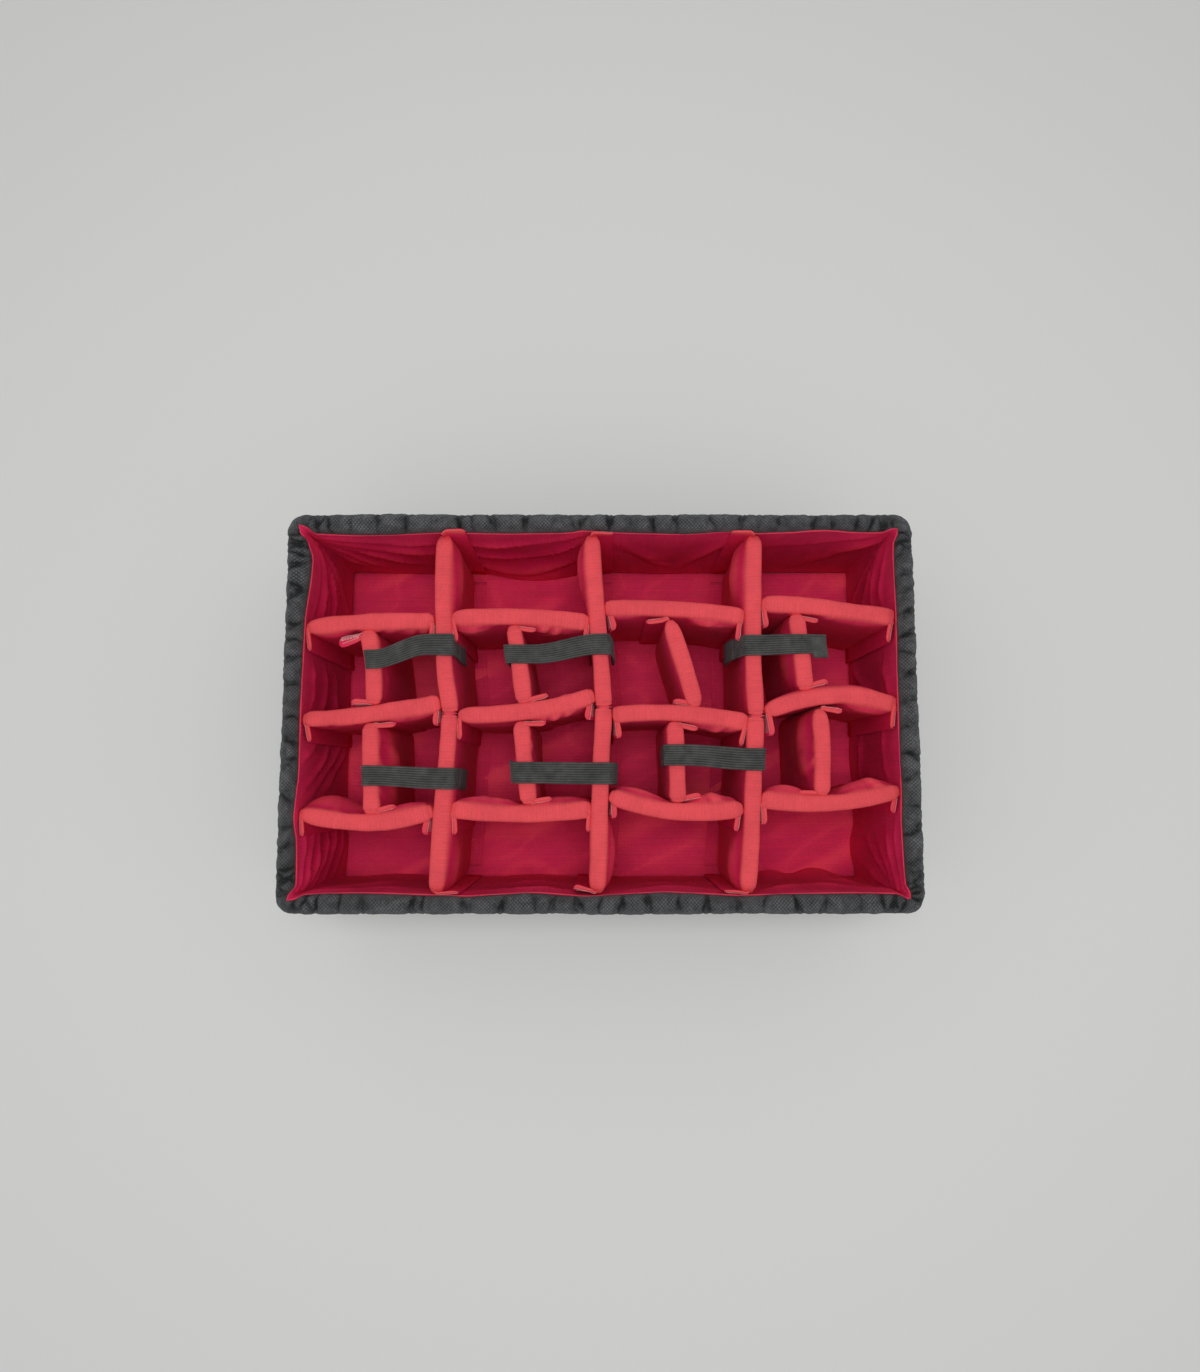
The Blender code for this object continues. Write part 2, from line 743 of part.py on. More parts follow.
def build_set():
    clear_scene()
    build_liner()
    longs, crosses, shorts, straps = plan_dividers()
    carriers = {name: build_long_divider(name, plan) for name, plan in longs.items()}
    for row, plans in crosses.items():
        for column, plan in enumerate(plans):
            build_cross_divider(f"{row}_{column + 1}", plan, carriers[COLUMN_CARRIER[column]])
    short_pads = {}
    for (row, column), plan in shorts.items():
        carrier = carriers[COLUMN_CARRIER[column]]
        short_pads[row, column] = build_short_divider(f"{row}_{column + 1}", plan, carrier)
    for name, strap in straps.items():
        row, column = STRAP_SHARES[name][:2]
        build_strap(name, strap, short_pads[row, column])
    bpy.context.view_layer.update()


build_set()
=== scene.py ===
"""Finish of the padded divider set, laid out as an add-on.

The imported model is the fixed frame. Each soft solid in it is stood for by a finer mesh in the
same place: puffed divider pads with folded hook tabs, draped red linings, creased nylon covers
and ribbed elastic straps. Sizes are in metres, +Z up, X along the liner, +Y to its back.
"""

import itertools
import json
import math

import bmesh
import bpy
import numpy as np
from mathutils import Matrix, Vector

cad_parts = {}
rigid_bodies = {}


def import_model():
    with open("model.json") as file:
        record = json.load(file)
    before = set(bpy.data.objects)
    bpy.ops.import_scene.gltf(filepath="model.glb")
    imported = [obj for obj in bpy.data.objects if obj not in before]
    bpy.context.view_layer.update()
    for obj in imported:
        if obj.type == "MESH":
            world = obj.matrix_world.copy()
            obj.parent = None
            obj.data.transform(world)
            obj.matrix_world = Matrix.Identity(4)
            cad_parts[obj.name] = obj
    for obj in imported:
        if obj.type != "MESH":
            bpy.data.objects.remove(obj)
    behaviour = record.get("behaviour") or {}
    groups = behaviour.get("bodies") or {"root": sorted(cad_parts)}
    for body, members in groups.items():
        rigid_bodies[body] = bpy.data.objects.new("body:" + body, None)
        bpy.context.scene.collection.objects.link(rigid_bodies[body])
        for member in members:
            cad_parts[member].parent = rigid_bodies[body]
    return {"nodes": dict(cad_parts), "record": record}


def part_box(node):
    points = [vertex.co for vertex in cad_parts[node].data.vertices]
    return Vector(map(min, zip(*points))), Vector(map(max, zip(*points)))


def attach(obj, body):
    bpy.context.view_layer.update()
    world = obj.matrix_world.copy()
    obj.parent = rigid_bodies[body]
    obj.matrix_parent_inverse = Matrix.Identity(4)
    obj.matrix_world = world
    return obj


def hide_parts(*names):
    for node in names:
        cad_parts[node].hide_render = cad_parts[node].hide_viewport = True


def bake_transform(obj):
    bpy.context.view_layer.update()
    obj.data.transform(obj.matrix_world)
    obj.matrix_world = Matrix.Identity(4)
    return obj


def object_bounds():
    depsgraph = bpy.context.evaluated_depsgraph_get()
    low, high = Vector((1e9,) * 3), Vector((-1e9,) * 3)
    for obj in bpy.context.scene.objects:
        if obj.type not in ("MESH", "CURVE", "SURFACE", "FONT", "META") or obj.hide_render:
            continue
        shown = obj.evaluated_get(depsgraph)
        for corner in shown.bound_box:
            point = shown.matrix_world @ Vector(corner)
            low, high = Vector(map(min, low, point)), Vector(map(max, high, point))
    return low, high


bl_info = {
    "name": "Padded Divider Set",
    "version": (1, 0, 0),
    "blender": (4, 5, 0),
    "location": "3D View > Sidebar > Dividers",
    "description": "Dresses a padded liner with dividers, hook tabs and elastic straps",
    "category": "Object",
}

for leftover in list(bpy.data.objects):
    bpy.data.objects.remove(leftover, do_unlink=True)

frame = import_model()
NODES = frame["nodes"]
CAD_LOW, CAD_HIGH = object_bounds()

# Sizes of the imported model
LINING_THICKNESS = 0.001
CORNER_RADIUS = 0.022
ROLL_RADIUS = 0.008
LIP_DEPTH = 0.0035
FLOOR_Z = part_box("floor_lining")[1].z
PAD_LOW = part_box("back_cross_1")[0].z
PAD_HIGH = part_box("back_cross_1")[1].z
HALF_LENGTH = CAD_HIGH.x
HALF_WIDTH = CAD_HIGH.y
RIM_Z = CAD_HIGH.z
INNER_X = -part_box("left_wall_lining")[0].x - LINING_THICKNESS
INNER_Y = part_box("back_wall_lining")[1].y - LINING_THICKNESS
WALL = HALF_LENGTH - INNER_X
COVER_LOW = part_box("back_nylon_cover")[0].z
LINING_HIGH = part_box("back_wall_lining")[1].z
TAB_DROP = 0.006
TAB_TOP = PAD_HIGH - 0.002
PAD_EDGE = 0.005
# Points this close in height lie on one level
SAME_LEVEL = 0.0001
# How deep a puff or a fold may dip behind the face of its solid
LEAST_RISE = -0.0008

# The photograph's camera, from a fit to the liner's rim and floor corners
PHOTO_LONG_SIDE_PX = 1372
FOCAL_LENGTH_PX = 900
SENSOR = 36.0
CAMERA_TILT = math.radians(6.08)
CAMERA_Y = -0.0803
CAMERA_ABOVE_RIM = 0.998

ROWS = ("back", "middle", "front")
LONG_NAMES = ("left_long", "middle_long", "right_long")
WALL_NAMES = ("back", "left", "front", "right")


# Settings


class FabricColours(bpy.types.PropertyGroup):
    """Colours of the set's cloths."""

    red: bpy.props.FloatVectorProperty(
        name="Red Loop Fabric",
        description="Brushed loop fabric of the dividers",
        subtype="COLOR",
        size=3,
        min=0.0,
        max=1.0,
        default=(0.80, 0.010, 0.104),
    )
    # Painted highlight and raised fuzz: a lighter red that stands in for light falling on pad and tab
    # tops, lit bellies, fold ridges and the floor
    red_highlight_and_fuzz: bpy.props.FloatVectorProperty(
        name="Red Highlight And Fuzz",
        description="Lighter red where the loops stand up on folds and edges",
        subtype="COLOR",
        size=3,
        min=0.0,
        max=1.0,
        default=(0.84, 0.088, 0.104),
    )
    lining: bpy.props.FloatVectorProperty(
        name="Red Lining",
        description="Thin loop fabric of the walls and the floor",
        subtype="COLOR",
        size=3,
        min=0.0,
        max=1.0,
        default=(0.82, 0.014, 0.135),
    )
    nylon: bpy.props.FloatVectorProperty(
        name="Black Nylon",
        description="Diamond-weave cloth of the liner's outside",
        subtype="COLOR",
        size=3,
        min=0.0,
        max=1.0,
        default=(0.056, 0.057, 0.059),
    )
    elastic: bpy.props.FloatVectorProperty(
        name="Black Elastic",
        description="Ribbed elastic of the straps",
        subtype="COLOR",
        size=3,
        min=0.0,
        max=1.0,
        default=(0.066, 0.067, 0.063),
    )
    hook: bpy.props.FloatVectorProperty(
        name="Hook Tape",
        description="Pale hook tape on the back of the tabs",
        subtype="COLOR",
        size=3,
        min=0.0,
        max=1.0,
        default=(0.74, 0.20, 0.24),
    )
    thread: bpy.props.FloatVectorProperty(
        name="Sewing Thread",
        description="Pale red thread of the seams",
        subtype="COLOR",
        size=3,
        min=0.0,
        max=1.0,
        default=(0.86, 0.38, 0.40),
    )
    foam: bpy.props.FloatVectorProperty(
        name="Grey Foam",
        description="Closed-cell foam inside the walls and the floor",
        subtype="COLOR",
        size=3,
        min=0.0,
        max=1.0,
        default=(0.12, 0.12, 0.125),
    )


class PadSizes(bpy.types.PropertyGroup):
    """How full the dividers are and how much their sleeves crease."""

    half_thickness: bpy.props.FloatProperty(
        name="Half Thickness",
        description="Half of a divider's thickness at its top edge",
        default=0.0086,
        min=0.002,
        subtype="DISTANCE",
        unit="LENGTH",
    )
    top_round: bpy.props.FloatProperty(
        name="Top Rounding",
        description="Height of the rounded top edge",
        default=0.0062,
        min=0.001,
        subtype="DISTANCE",
        unit="LENGTH",
    )
    belly: bpy.props.FloatProperty(
        name="Belly",
        description="How far each face bulges at its middle",
        default=0.0009,
        min=0.0,
        subtype="DISTANCE",
        unit="LENGTH",
    )
    crease: bpy.props.FloatProperty(
        name="Crease Height",
        description="Height of the loose creases on a face",
        default=0.0011,
        min=0.0,
        subtype="DISTANCE",
        unit="LENGTH",
    )
    gather: bpy.props.FloatProperty(
        name="Gather Height",
        description="Height of the gathers where a tab is sewn in",
        default=0.0022,
        min=0.0,
        subtype="DISTANCE",
        unit="LENGTH",
    )
    bunch: bpy.props.FloatProperty(
        name="Bunch Height",
        description="Height of the folds where a sleeve bunches below its top",
        default=0.0024,
        min=0.0,
        subtype="DISTANCE",
        unit="LENGTH",
    )
    row_spacing: bpy.props.FloatProperty(
        name="Mesh Spacing",
        description="Distance between mesh rows along a divider",
        default=0.003,
        min=0.001,
        subtype="DISTANCE",
        unit="LENGTH",
    )


class LinerSizes(bpy.types.PropertyGroup):
    """Puffs and creases of the covers and folds of the linings."""

    puff: bpy.props.FloatProperty(
        name="Puff Height",
        description="How far the nylon puffs up between two creases",
        default=0.0030,
        min=0.0,
        subtype="DISTANCE",
        unit="LENGTH",
    )
    crease: bpy.props.FloatProperty(
        name="Crease Depth",
        description="Depth of a crease across the wall's top",
        default=0.0030,
        min=0.0,
        subtype="DISTANCE",
        unit="LENGTH",
    )
    fold: bpy.props.FloatProperty(
        name="Fold Height",
        description="Height of the lining's larger folds",
        default=0.0050,
        min=0.0,
        subtype="DISTANCE",
        unit="LENGTH",
    )
    piping: bpy.props.FloatProperty(
        name="Edge Bead",
        description="Radius of the bright folded edge of the lining",
        default=0.0009,
        min=0.0002,
        subtype="DISTANCE",
        unit="LENGTH",
    )


class StrapSizes(bpy.types.PropertyGroup):
    """Sizes of the elastic straps."""

    thickness: bpy.props.FloatProperty(
        name="Thickness",
        description="Thickness of the elastic between its ribs",
        default=0.0012,
        min=0.0002,
        subtype="DISTANCE",
        unit="LENGTH",
    )
    rib_height: bpy.props.FloatProperty(
        name="Rib Height",
        description="How far each rib stands up",
        default=0.0005,
        min=0.0,
        subtype="DISTANCE",
        unit="LENGTH",
    )
    rib_count: bpy.props.IntProperty(
        name="Ribs",
        description="Number of ribs across a strap",
        default=9,
        min=2,
    )
    leg: bpy.props.FloatProperty(
        name="Far Leg",
        description="Length that hangs down the long divider",
        default=0.088,
        min=0.01,
        subtype="DISTANCE",
        unit="LENGTH",
    )


class StageSizes(bpy.types.PropertyGroup):
    """Floor, lights and camera."""

    floor_colour: bpy.props.FloatVectorProperty(
        name="Floor",
        description="Colour of the plain floor",
        subtype="COLOR",
        size=3,
        min=0.0,
        max=1.0,
        default=(0.80, 0.80, 0.79),
    )
    floor_size: bpy.props.FloatProperty(
        name="Floor Size",
        description="Side of the square floor",
        default=12.0,
        min=1.0,
        subtype="DISTANCE",
        unit="LENGTH",
    )
    key_power: bpy.props.FloatProperty(
        name="Key Light",
        description="Power of the large light above the set",
        default=16.2,
        min=0.0,
        subtype="POWER",
        unit="POWER",
    )
    sky_strength: bpy.props.FloatProperty(
        name="Sky",
        description="Strength of the even light from all around",
        default=0.49,
        min=0.0,
    )


# Noise


def lattice_value(cell, seed):
    """A fixed value from -1 to 1 for each whole-number cell."""
    mixed = cell @ np.array((73856093, 19349663, 83492791)) + seed * 2654435761
    mixed = (mixed ^ (mixed >> 13)) * 1274126177
    mixed = mixed ^ (mixed >> 16)
    return (mixed & 0xFFFF) / 32767.5 - 1


def smooth_noise(points, size, seed):
    """Smooth noise from -1 to 1 at each point. size is one length, or one for each axis."""
    scaled = np.asarray(points, float) / size
    cell = np.floor(scaled).astype(np.int64)
    share = scaled - cell
    share = share * share * (3 - 2 * share)
    total = np.zeros(scaled.shape[:-1])
    for corner in itertools.product((0, 1), repeat=3):
        weight = np.prod(np.where(corner, share, 1 - share), axis=-1)
        total += weight * lattice_value(cell + np.array(corner), seed)
    return total


def smooth_step(value, start, end):
    """0 up to start, 1 from end on, and a soft rise between them."""
    share = np.clip((np.asarray(value, float) - start) / (end - start), 0, 1)
    return share * share * (3 - 2 * share)


def unit(vector):
    """A vector, or a row of them, at length 1."""
    vector = np.asarray(vector, float)
    return vector / np.maximum(np.linalg.norm(vector, axis=-1, keepdims=True), 1e-12)


def lengths_along(points):
    """Distance from the first point to each point of a line."""
    steps = np.linalg.norm(np.diff(points, axis=0), axis=1)
    return np.concatenate(([0.0], np.cumsum(steps)))


def resample(points, places):
    """Points of a line at given distances from its start."""
    reached = lengths_along(points)
    return np.stack([np.interp(places, reached, column) for column in points.T], axis=1)


def rounded_line(points, rounds=3):
    """Cuts a line's corners again and again, which bends it like cloth."""
    points = np.asarray(points, float)
    for _ in range(rounds):
        ahead = points[:-1] * 0.75 + points[1:] * 0.25
        behind = points[:-1] * 0.25 + points[1:] * 0.75
        middle = np.stack((ahead, behind), axis=1).reshape(-1, points.shape[1])
        points = np.vstack((points[:1], middle, points[-1:]))
    return points


# Meshes


class ClothMesh:
    """Collects grids of points into one mesh, with the place on the cloth in metres as UV."""

    def __init__(self):
        self.points, self.faces, self.places = [], [], []
        self.slots, self.relief, self.wear = [], [], []
        self.count = 0

    def add(self, grid, slot=0, around=False, capped=False, relief=0.0, wear=0.0):
        """Adds faces over grid[row][column]. around joins a row's ends, capped shuts both ends."""
        grid = np.asarray(grid, float)
        rows, columns = grid.shape[:2]
        turns = columns if around else columns - 1
        index = np.arange(rows * columns).reshape(rows, columns)
        beside = np.roll(index, -1, axis=1)
        corners = (index[:-1], beside[:-1], beside[1:], index[1:])
        faces = np.stack([c[:, :turns] for c in corners], axis=-1).reshape(-1, 4)
        closed = np.concatenate((grid, grid[:, :1]), axis=1)
        steps = np.linalg.norm(np.diff(closed, axis=1), axis=2).mean(axis=0)
        across = np.concatenate(([0.0], np.cumsum(steps)))
        climbs = np.linalg.norm(np.diff(grid, axis=0), axis=2).mean(axis=1)
        along = np.concatenate(([0.0], np.cumsum(climbs)))
        row, column = np.meshgrid(np.arange(rows - 1), np.arange(turns), indexing="ij")
        u = np.stack((across[column], across[column + 1], across[column + 1], across[column]), -1)
        v = np.stack((along[row], along[row], along[row + 1], along[row + 1]), -1)
        places = np.stack((u, v), -1).reshape(-1, 4, 2)
        if capped:
            lids, lid_places = self.lids(index, across, along)
            faces = np.vstack((faces, lids))
            places = np.vstack((places, lid_places))
        self.points.append(grid.reshape(-1, 3))
        self.faces.append(faces + self.count)
        self.places.append(places)
        self.slots += [slot] * len(faces)
        self.relief.append(np.broadcast_to(relief, (rows, columns)).ravel())
        self.wear.append(np.broadcast_to(wear, (rows, columns)).ravel())
        self.count += rows * columns

    @staticmethod
    def lids(index, across, along):
        """Rungs of faces between the two halves of the first and the last ring."""
        faces, places = [], []
        columns = index.shape[1]
        for ring, reach in ((index[0], along[0]), (index[-1], along[-1])):
            for i in range(columns // 2 - 1):
                faces.append((ring[i], ring[i + 1], ring[columns - 2 - i], ring[columns - 1 - i]))
                depth = reach + LINING_THICKNESS
                corners = ((i, reach), (i + 1, reach), (i + 1, depth), (i, depth))
                places.append([(across[c], v) for c, v in corners])
        return np.array(faces), np.array(places)

    def stitches(self, course, slot, length=0.0024, pause=0.0014, radius=0.00035):
        """A row of short thread stitches along a line of points."""
        course = np.asarray(course, float)
        total = lengths_along(course)[-1]
        starts = np.arange(pause, total - length, length + pause)
        if not len(starts):
            return
        heads, tails = resample(course, starts), resample(course, starts + length)
        for head, tail in zip(heads, tails):
            run = unit(tail - head)
            side = unit(np.cross(run, (0.3, 0.4, 0.87)))
            rise = np.cross(run, side)
            ring = np.array([side + rise, side - rise, -side - rise, rise - side]) * radius
            self.add(np.stack((head + ring, tail + ring)), slot, around=True, capped=True)

    def build(self, name, finishes, closed=True):
        """Makes the object, smooth shaded, with its faces pointing out where it is closed."""
        mesh = bpy.data.meshes.new(name)
        points, faces = np.vstack(self.points), np.vstack(self.faces)
        mesh.from_pydata(points.tolist(), [], faces.tolist())
        layer = mesh.uv_layers.new(name="cloth")
        layer.data.foreach_set("uv", np.vstack(self.places).astype(np.float32).ravel())
        # Two point values paint light into the colour: relief paints shade and highlight over folds, and
        # the other sets the share of the lighter colour that is painted highlight and raised fuzz
        for key, values in (("relief", self.relief), ("wear", self.wear)):
            layer = mesh.attributes.new(key, "FLOAT", "POINT")
            layer.data.foreach_set("value", np.concatenate(values).astype(np.float32))
        for finish in finishes:
            mesh.materials.append(finish)
        mesh.polygons.foreach_set("material_index", self.slots)
        if closed:
            work = bmesh.new()
            work.from_mesh(mesh)
            bmesh.ops.recalc_face_normals(work, faces=work.faces)
            work.to_mesh(mesh)
            work.free()
        mesh.shade_smooth()
        obj = bpy.data.objects.new(name, mesh)
        bpy.context.scene.collection.objects.link(obj)
        return obj


# Shader parts

NUMBER, VECTOR = "NodeSocketFloat", "NodeSocketVector"
# How far the pile's streaks are drawn out: more across the rows than along them
STREAK_STRETCH = (14.0, 240.0, 1.0)


def add_node(tree, kind, settings=None, inputs=None):
    """A node with its settings, and each input either linked or set."""
    made = tree.nodes.new(kind)
    for key, value in (settings or {}).items():
        setattr(made, key, value)
    for key, value in (inputs or {}).items():
        if isinstance(value, bpy.types.NodeSocket):
            tree.links.new(value, made.inputs[key])
        else:
            made.inputs[key].default_value = value
    return made


def calculate(tree, operation, *values):
    inputs = dict(enumerate(values))
    return add_node(tree, "ShaderNodeMath", {"operation": operation}, inputs).outputs[0]


def stretch(tree, value, low, high, new_low, new_high):
    inputs = {"Value": value, "From Min": low, "From Max": high, "To Min": new_low, "To Max": new_high}
    return add_node(tree, "ShaderNodeMapRange", None, inputs).outputs["Result"]


def make_group(name, inputs, outputs, fill):
    """A node group with named sockets, built once."""
    group = bpy.data.node_groups.new(name, "ShaderNodeTree")
    for label, kind, default in inputs:
        socket = group.interface.new_socket(name=label, in_out="INPUT", socket_type=kind)
        if default is not None:
            socket.default_value = default
    for label, kind in outputs:
        group.interface.new_socket(name=label, in_out="OUTPUT", socket_type=kind)
    start, end = group.nodes.new("NodeGroupInput"), group.nodes.new("NodeGroupOutput")
    for label, value in fill(group, start.outputs).items():
        group.links.new(value, end.inputs[label])
    return group


def weave_group(name, size_name, size, fill):
    """A group that turns the place on the cloth into the height and the shade of its weave."""
    inputs = [("Cloth Place", VECTOR, None), (size_name, NUMBER, size)]
    return make_group(name, inputs, [("Height", NUMBER), ("Shade", NUMBER)], fill)


def weave_steps(tree, given, size_name):
    """The place across and along the cloth, counted in steps of its weave."""
    split = add_node(tree, "ShaderNodeSeparateXYZ", None, {"Vector": given["Cloth Place"]})
    return [calculate(tree, "DIVIDE", split.outputs[axis], given[size_name]) for axis in ("X", "Y")]


def fill_loop_pile(tree, given):
    """Brushed loops in fine rows: their height and how light they look."""
    split = add_node(tree, "ShaderNodeSeparateXYZ", None, {"Vector": given["Cloth Place"]})
    fuzz_scale = calculate(tree, "DIVIDE", 0.7, given["Row Height"])
    fuzz = add_node(
        tree,
        "ShaderNodeTexNoise",
        {"noise_dimensions": "2D"},
        {"Vector": given["Cloth Place"], "Scale": fuzz_scale, "Detail": 2.0, "Roughness": 0.6},
    ).outputs["Fac"]
    turns = calculate(tree, "DIVIDE", split.outputs["Y"], given["Row Height"])
    swayed = calculate(tree, "MULTIPLY_ADD", fuzz, 0.9, turns)
    wave = calculate(tree, "SINE", calculate(tree, "MULTIPLY", swayed, math.tau))
    height = calculate(tree, "MULTIPLY_ADD", wave, 0.22, fuzz)
    broad = calculate(tree, "SINE", calculate(tree, "MULTIPLY", turns, math.tau / 2.7))
    banded = calculate(tree, "MULTIPLY_ADD", calculate(tree, "MULTIPLY", broad, fuzz), 0.16, height)
    shade = stretch(tree, banded, 0.15, 0.9, 0.88, 1.1)
    stretched = {0: given["Cloth Place"], 1: STREAK_STRETCH}
    drawn = add_node(tree, "ShaderNodeVectorMath", {"operation": "MULTIPLY"}, stretched).outputs[0]
    streaks = {"Vector": drawn, "Scale": 1.0, "Detail": 2.0}
    streak = add_node(tree, "ShaderNodeTexNoise", {"noise_dimensions": "2D"}, streaks).outputs["Fac"]
    streaked = calculate(tree, "MULTIPLY", shade, stretch(tree, streak, 0.25, 0.75, 0.955, 1.045))
    return {"Height": height, "Shade": streaked}


def fill_diamond_weave(tree, given):
    """Small raised diamonds of a dobby weave."""
    x, y = weave_steps(tree, given, "Diamond Size")
    rising = calculate(tree, "PINGPONG", calculate(tree, "ADD", x, y), 0.5)
    falling = calculate(tree, "PINGPONG", calculate(tree, "SUBTRACT", x, y), 0.5)
    diamond = calculate(tree, "MINIMUM", rising, falling)
    height = stretch(tree, diamond, 0.0, 0.26, 0.0, 1.0)
    shade = stretch(tree, height, 0.0, 1.0, 0.35, 1.45)
    return {"Height": height, "Shade": shade}


def fill_uneven_cloth(tree, given):
    """Slow changes of tone and gloss over a cloth, with painted highlight on folds and painted shade in
    valleys.
    """
    slow = add_node(
        tree,
        "ShaderNodeTexNoise",
        None,
        {
            "Vector": given["Position"],
            "Scale": calculate(tree, "DIVIDE", 1.0, given["Patch Size"]),
            "Detail": 4.0,
            "Roughness": 0.6,
        },
    ).outputs["Fac"]
    tone = stretch(tree, slow, 0.3, 0.7, -1.0, 1.0)
    # Painted shade in valleys and painted highlight on folds, from the relief value
    folded = calculate(tree, "MULTIPLY", given["Relief"], given["Painted Fold Shade"])
    shade = calculate(tree, "ADD", calculate(tree, "MULTIPLY_ADD", tone, given["Contrast"], 1.0), folded)
    rough = calculate(tree, "MULTIPLY_ADD", tone, 0.05, given["Roughness"])
    # Ridges also take the lighter colour as painted highlight, on top of the share of painted highlight
    # and raised fuzz
    raised = stretch(tree, given["Relief"], 0.2, 1.4, 0.0, 0.5)
    patchy = calculate(tree, "MULTIPLY_ADD", tone, 0.08, calculate(tree, "ADD", given["Highlight And Fuzz Share"], raised))
    highlight_and_fuzz = stretch(tree, patchy, 0.0, 1.0, 0.0, 1.0)
    return {"Shade": shade, "Roughness": rough, "Highlight And Fuzz": highlight_and_fuzz, "Tone": tone}


def fill_thread_ribs(tree, given):
    """Fine threads that run along a strap, crossed by its weft."""
    warp, weft = weave_steps(tree, given, "Thread Size")
    lines = calculate(tree, "PINGPONG", warp, 0.5)
    cross = calculate(tree, "PINGPONG", weft, 0.5)
    height = calculate(tree, "MULTIPLY_ADD", cross, 0.6, lines)
    shade = stretch(tree, height, 0.0, 0.8, 0.82, 1.15)
    return {"Height": height, "Shade": shade}


class ShaderParts:
    """The node groups that the materials share."""

    def __init__(self):
        self.loop_pile = weave_group("loop_pile", "Row Height", 0.0013, fill_loop_pile)
        self.diamond_weave = weave_group("diamond_weave", "Diamond Size", 0.0034, fill_diamond_weave)
        self.thread_ribs = weave_group("thread_ribs", "Thread Size", 0.0006, fill_thread_ribs)
        self.uneven_cloth = make_group(
            "uneven_cloth",
            [
                ("Position", VECTOR, None),
                ("Relief", NUMBER, 0.0),
                ("Highlight And Fuzz Share", NUMBER, 0.0),
                ("Patch Size", NUMBER, 0.03),
                ("Contrast", NUMBER, 0.05),
                ("Painted Fold Shade", NUMBER, 0.1),
                ("Roughness", NUMBER, 0.9),
            ],
            [("Shade", NUMBER), ("Roughness", NUMBER), ("Highlight And Fuzz", NUMBER), ("Tone", NUMBER)],
            fill_uneven_cloth,
        )


def shaded_colour(tree, colour, highlight_and_fuzz_colour, highlight_and_fuzz, shades):
    """A base colour that turns to the lighter colour of painted highlight and raised fuzz, and is
    multiplied by each shade.
    """
    mixed = add_node(
        tree,
        "ShaderNodeMix",
        {"data_type": "RGBA"},
        {"Factor": highlight_and_fuzz, 6: (*colour, 1.0), 7: (*highlight_and_fuzz_colour, 1.0)},
    ).outputs[2]
    amount = calculate(tree, "MULTIPLY", *shades)
    scaled = add_node(tree, "ShaderNodeVectorMath", {"operation": "SCALE"}, {0: mixed, "Scale": amount})
    return scaled.outputs[0]


def new_material(name):
    """A fresh material with its node tree and its Principled shader."""
    material = bpy.data.materials.new(name)
    material.use_nodes = True
    return material, material.node_tree, material.node_tree.nodes["Principled BSDF"]


def link_surface(tree, shader, base, roughness, bump):
    """Links a colour, a roughness and a bump. bump is its strength, distance and height."""
    inputs = dict(zip(("Strength", "Distance", "Height"), bump))
    raised = add_node(tree, "ShaderNodeBump", None, inputs)
    tree.links.new(base, shader.inputs["Base Color"])
    tree.links.new(roughness, shader.inputs["Roughness"])
    tree.links.new(raised.outputs["Normal"], shader.inputs["Normal"])


def cloth_material(parts, name, weave, weave_size, colour, highlight_and_fuzz_colour, look):
    """A woven or brushed cloth. look holds its roughness, sheen, contrast and bump."""
    material, tree, shader = new_material(name)
    place = add_node(tree, "ShaderNodeUVMap", {"uv_map": "cloth"}).outputs["UV"]
    geometry = add_node(tree, "ShaderNodeTexCoord")
    # Point values that paint light into the colour: shade and highlight of folds, and the share of painted
    # highlight and raised fuzz
    relief = add_node(tree, "ShaderNodeAttribute", {"attribute_name": "relief"}).outputs["Fac"]
    wear = add_node(tree, "ShaderNodeAttribute", {"attribute_name": "wear"}).outputs["Fac"]
    fine = add_node(tree, "ShaderNodeGroup", {"node_tree": weave}, {0: place, 1: weave_size})
    slow = add_node(
        tree,
        "ShaderNodeGroup",
        {"node_tree": parts.uneven_cloth},
        {
            "Position": geometry.outputs["Object"],
            "Relief": relief,
            "Highlight And Fuzz Share": wear,
            "Patch Size": look["patch"],
            "Contrast": look["contrast"],
            "Painted Fold Shade": look["painted_fold_shade"],
            "Roughness": look["roughness"],
        },
    )
    shades = (fine.outputs["Shade"], slow.outputs["Shade"])
    base = shaded_colour(tree, colour, highlight_and_fuzz_colour, slow.outputs["Highlight And Fuzz"], shades)
    height = calculate(tree, "MULTIPLY_ADD", slow.outputs["Tone"], look["crinkle"], fine.outputs["Height"])
    link_surface(tree, shader, base, slow.outputs["Roughness"], (look["bump"], weave_size, height))
    shader.inputs["Sheen Weight"].default_value = look["sheen"]
    shader.inputs["Sheen Roughness"].default_value = 0.5
    shader.inputs["Sheen Tint"].default_value = (*look["sheen_tint"], 1.0)
    shader.inputs["Specular IOR Level"].default_value = look["specular"]
    return material


def foam_material(parts, colour):
    """Closed-cell foam: fine pores in its colour and its surface, by place in the object."""
    material, tree, shader = new_material("grey_foam_cells")
    position = add_node(tree, "ShaderNodeTexCoord").outputs["Object"]
    cells = add_node(tree, "ShaderNodeTexVoronoi", None, {"Vector": position, "Scale": 900.0})
    slow = add_node(
        tree, "ShaderNodeGroup", {"node_tree": parts.uneven_cloth}, {"Position": position, "Contrast": 0.1}
    )
    pores = stretch(tree, cells.outputs["Distance"], 0.0, 0.7, 0.7, 1.15)
    base = shaded_colour(tree, colour, colour, slow.outputs["Highlight And Fuzz"], (pores, slow.outputs["Shade"]))
    bump = (0.4, 0.0006, cells.outputs["Distance"])
    link_surface(tree, shader, base, slow.outputs["Roughness"], bump)
    return material


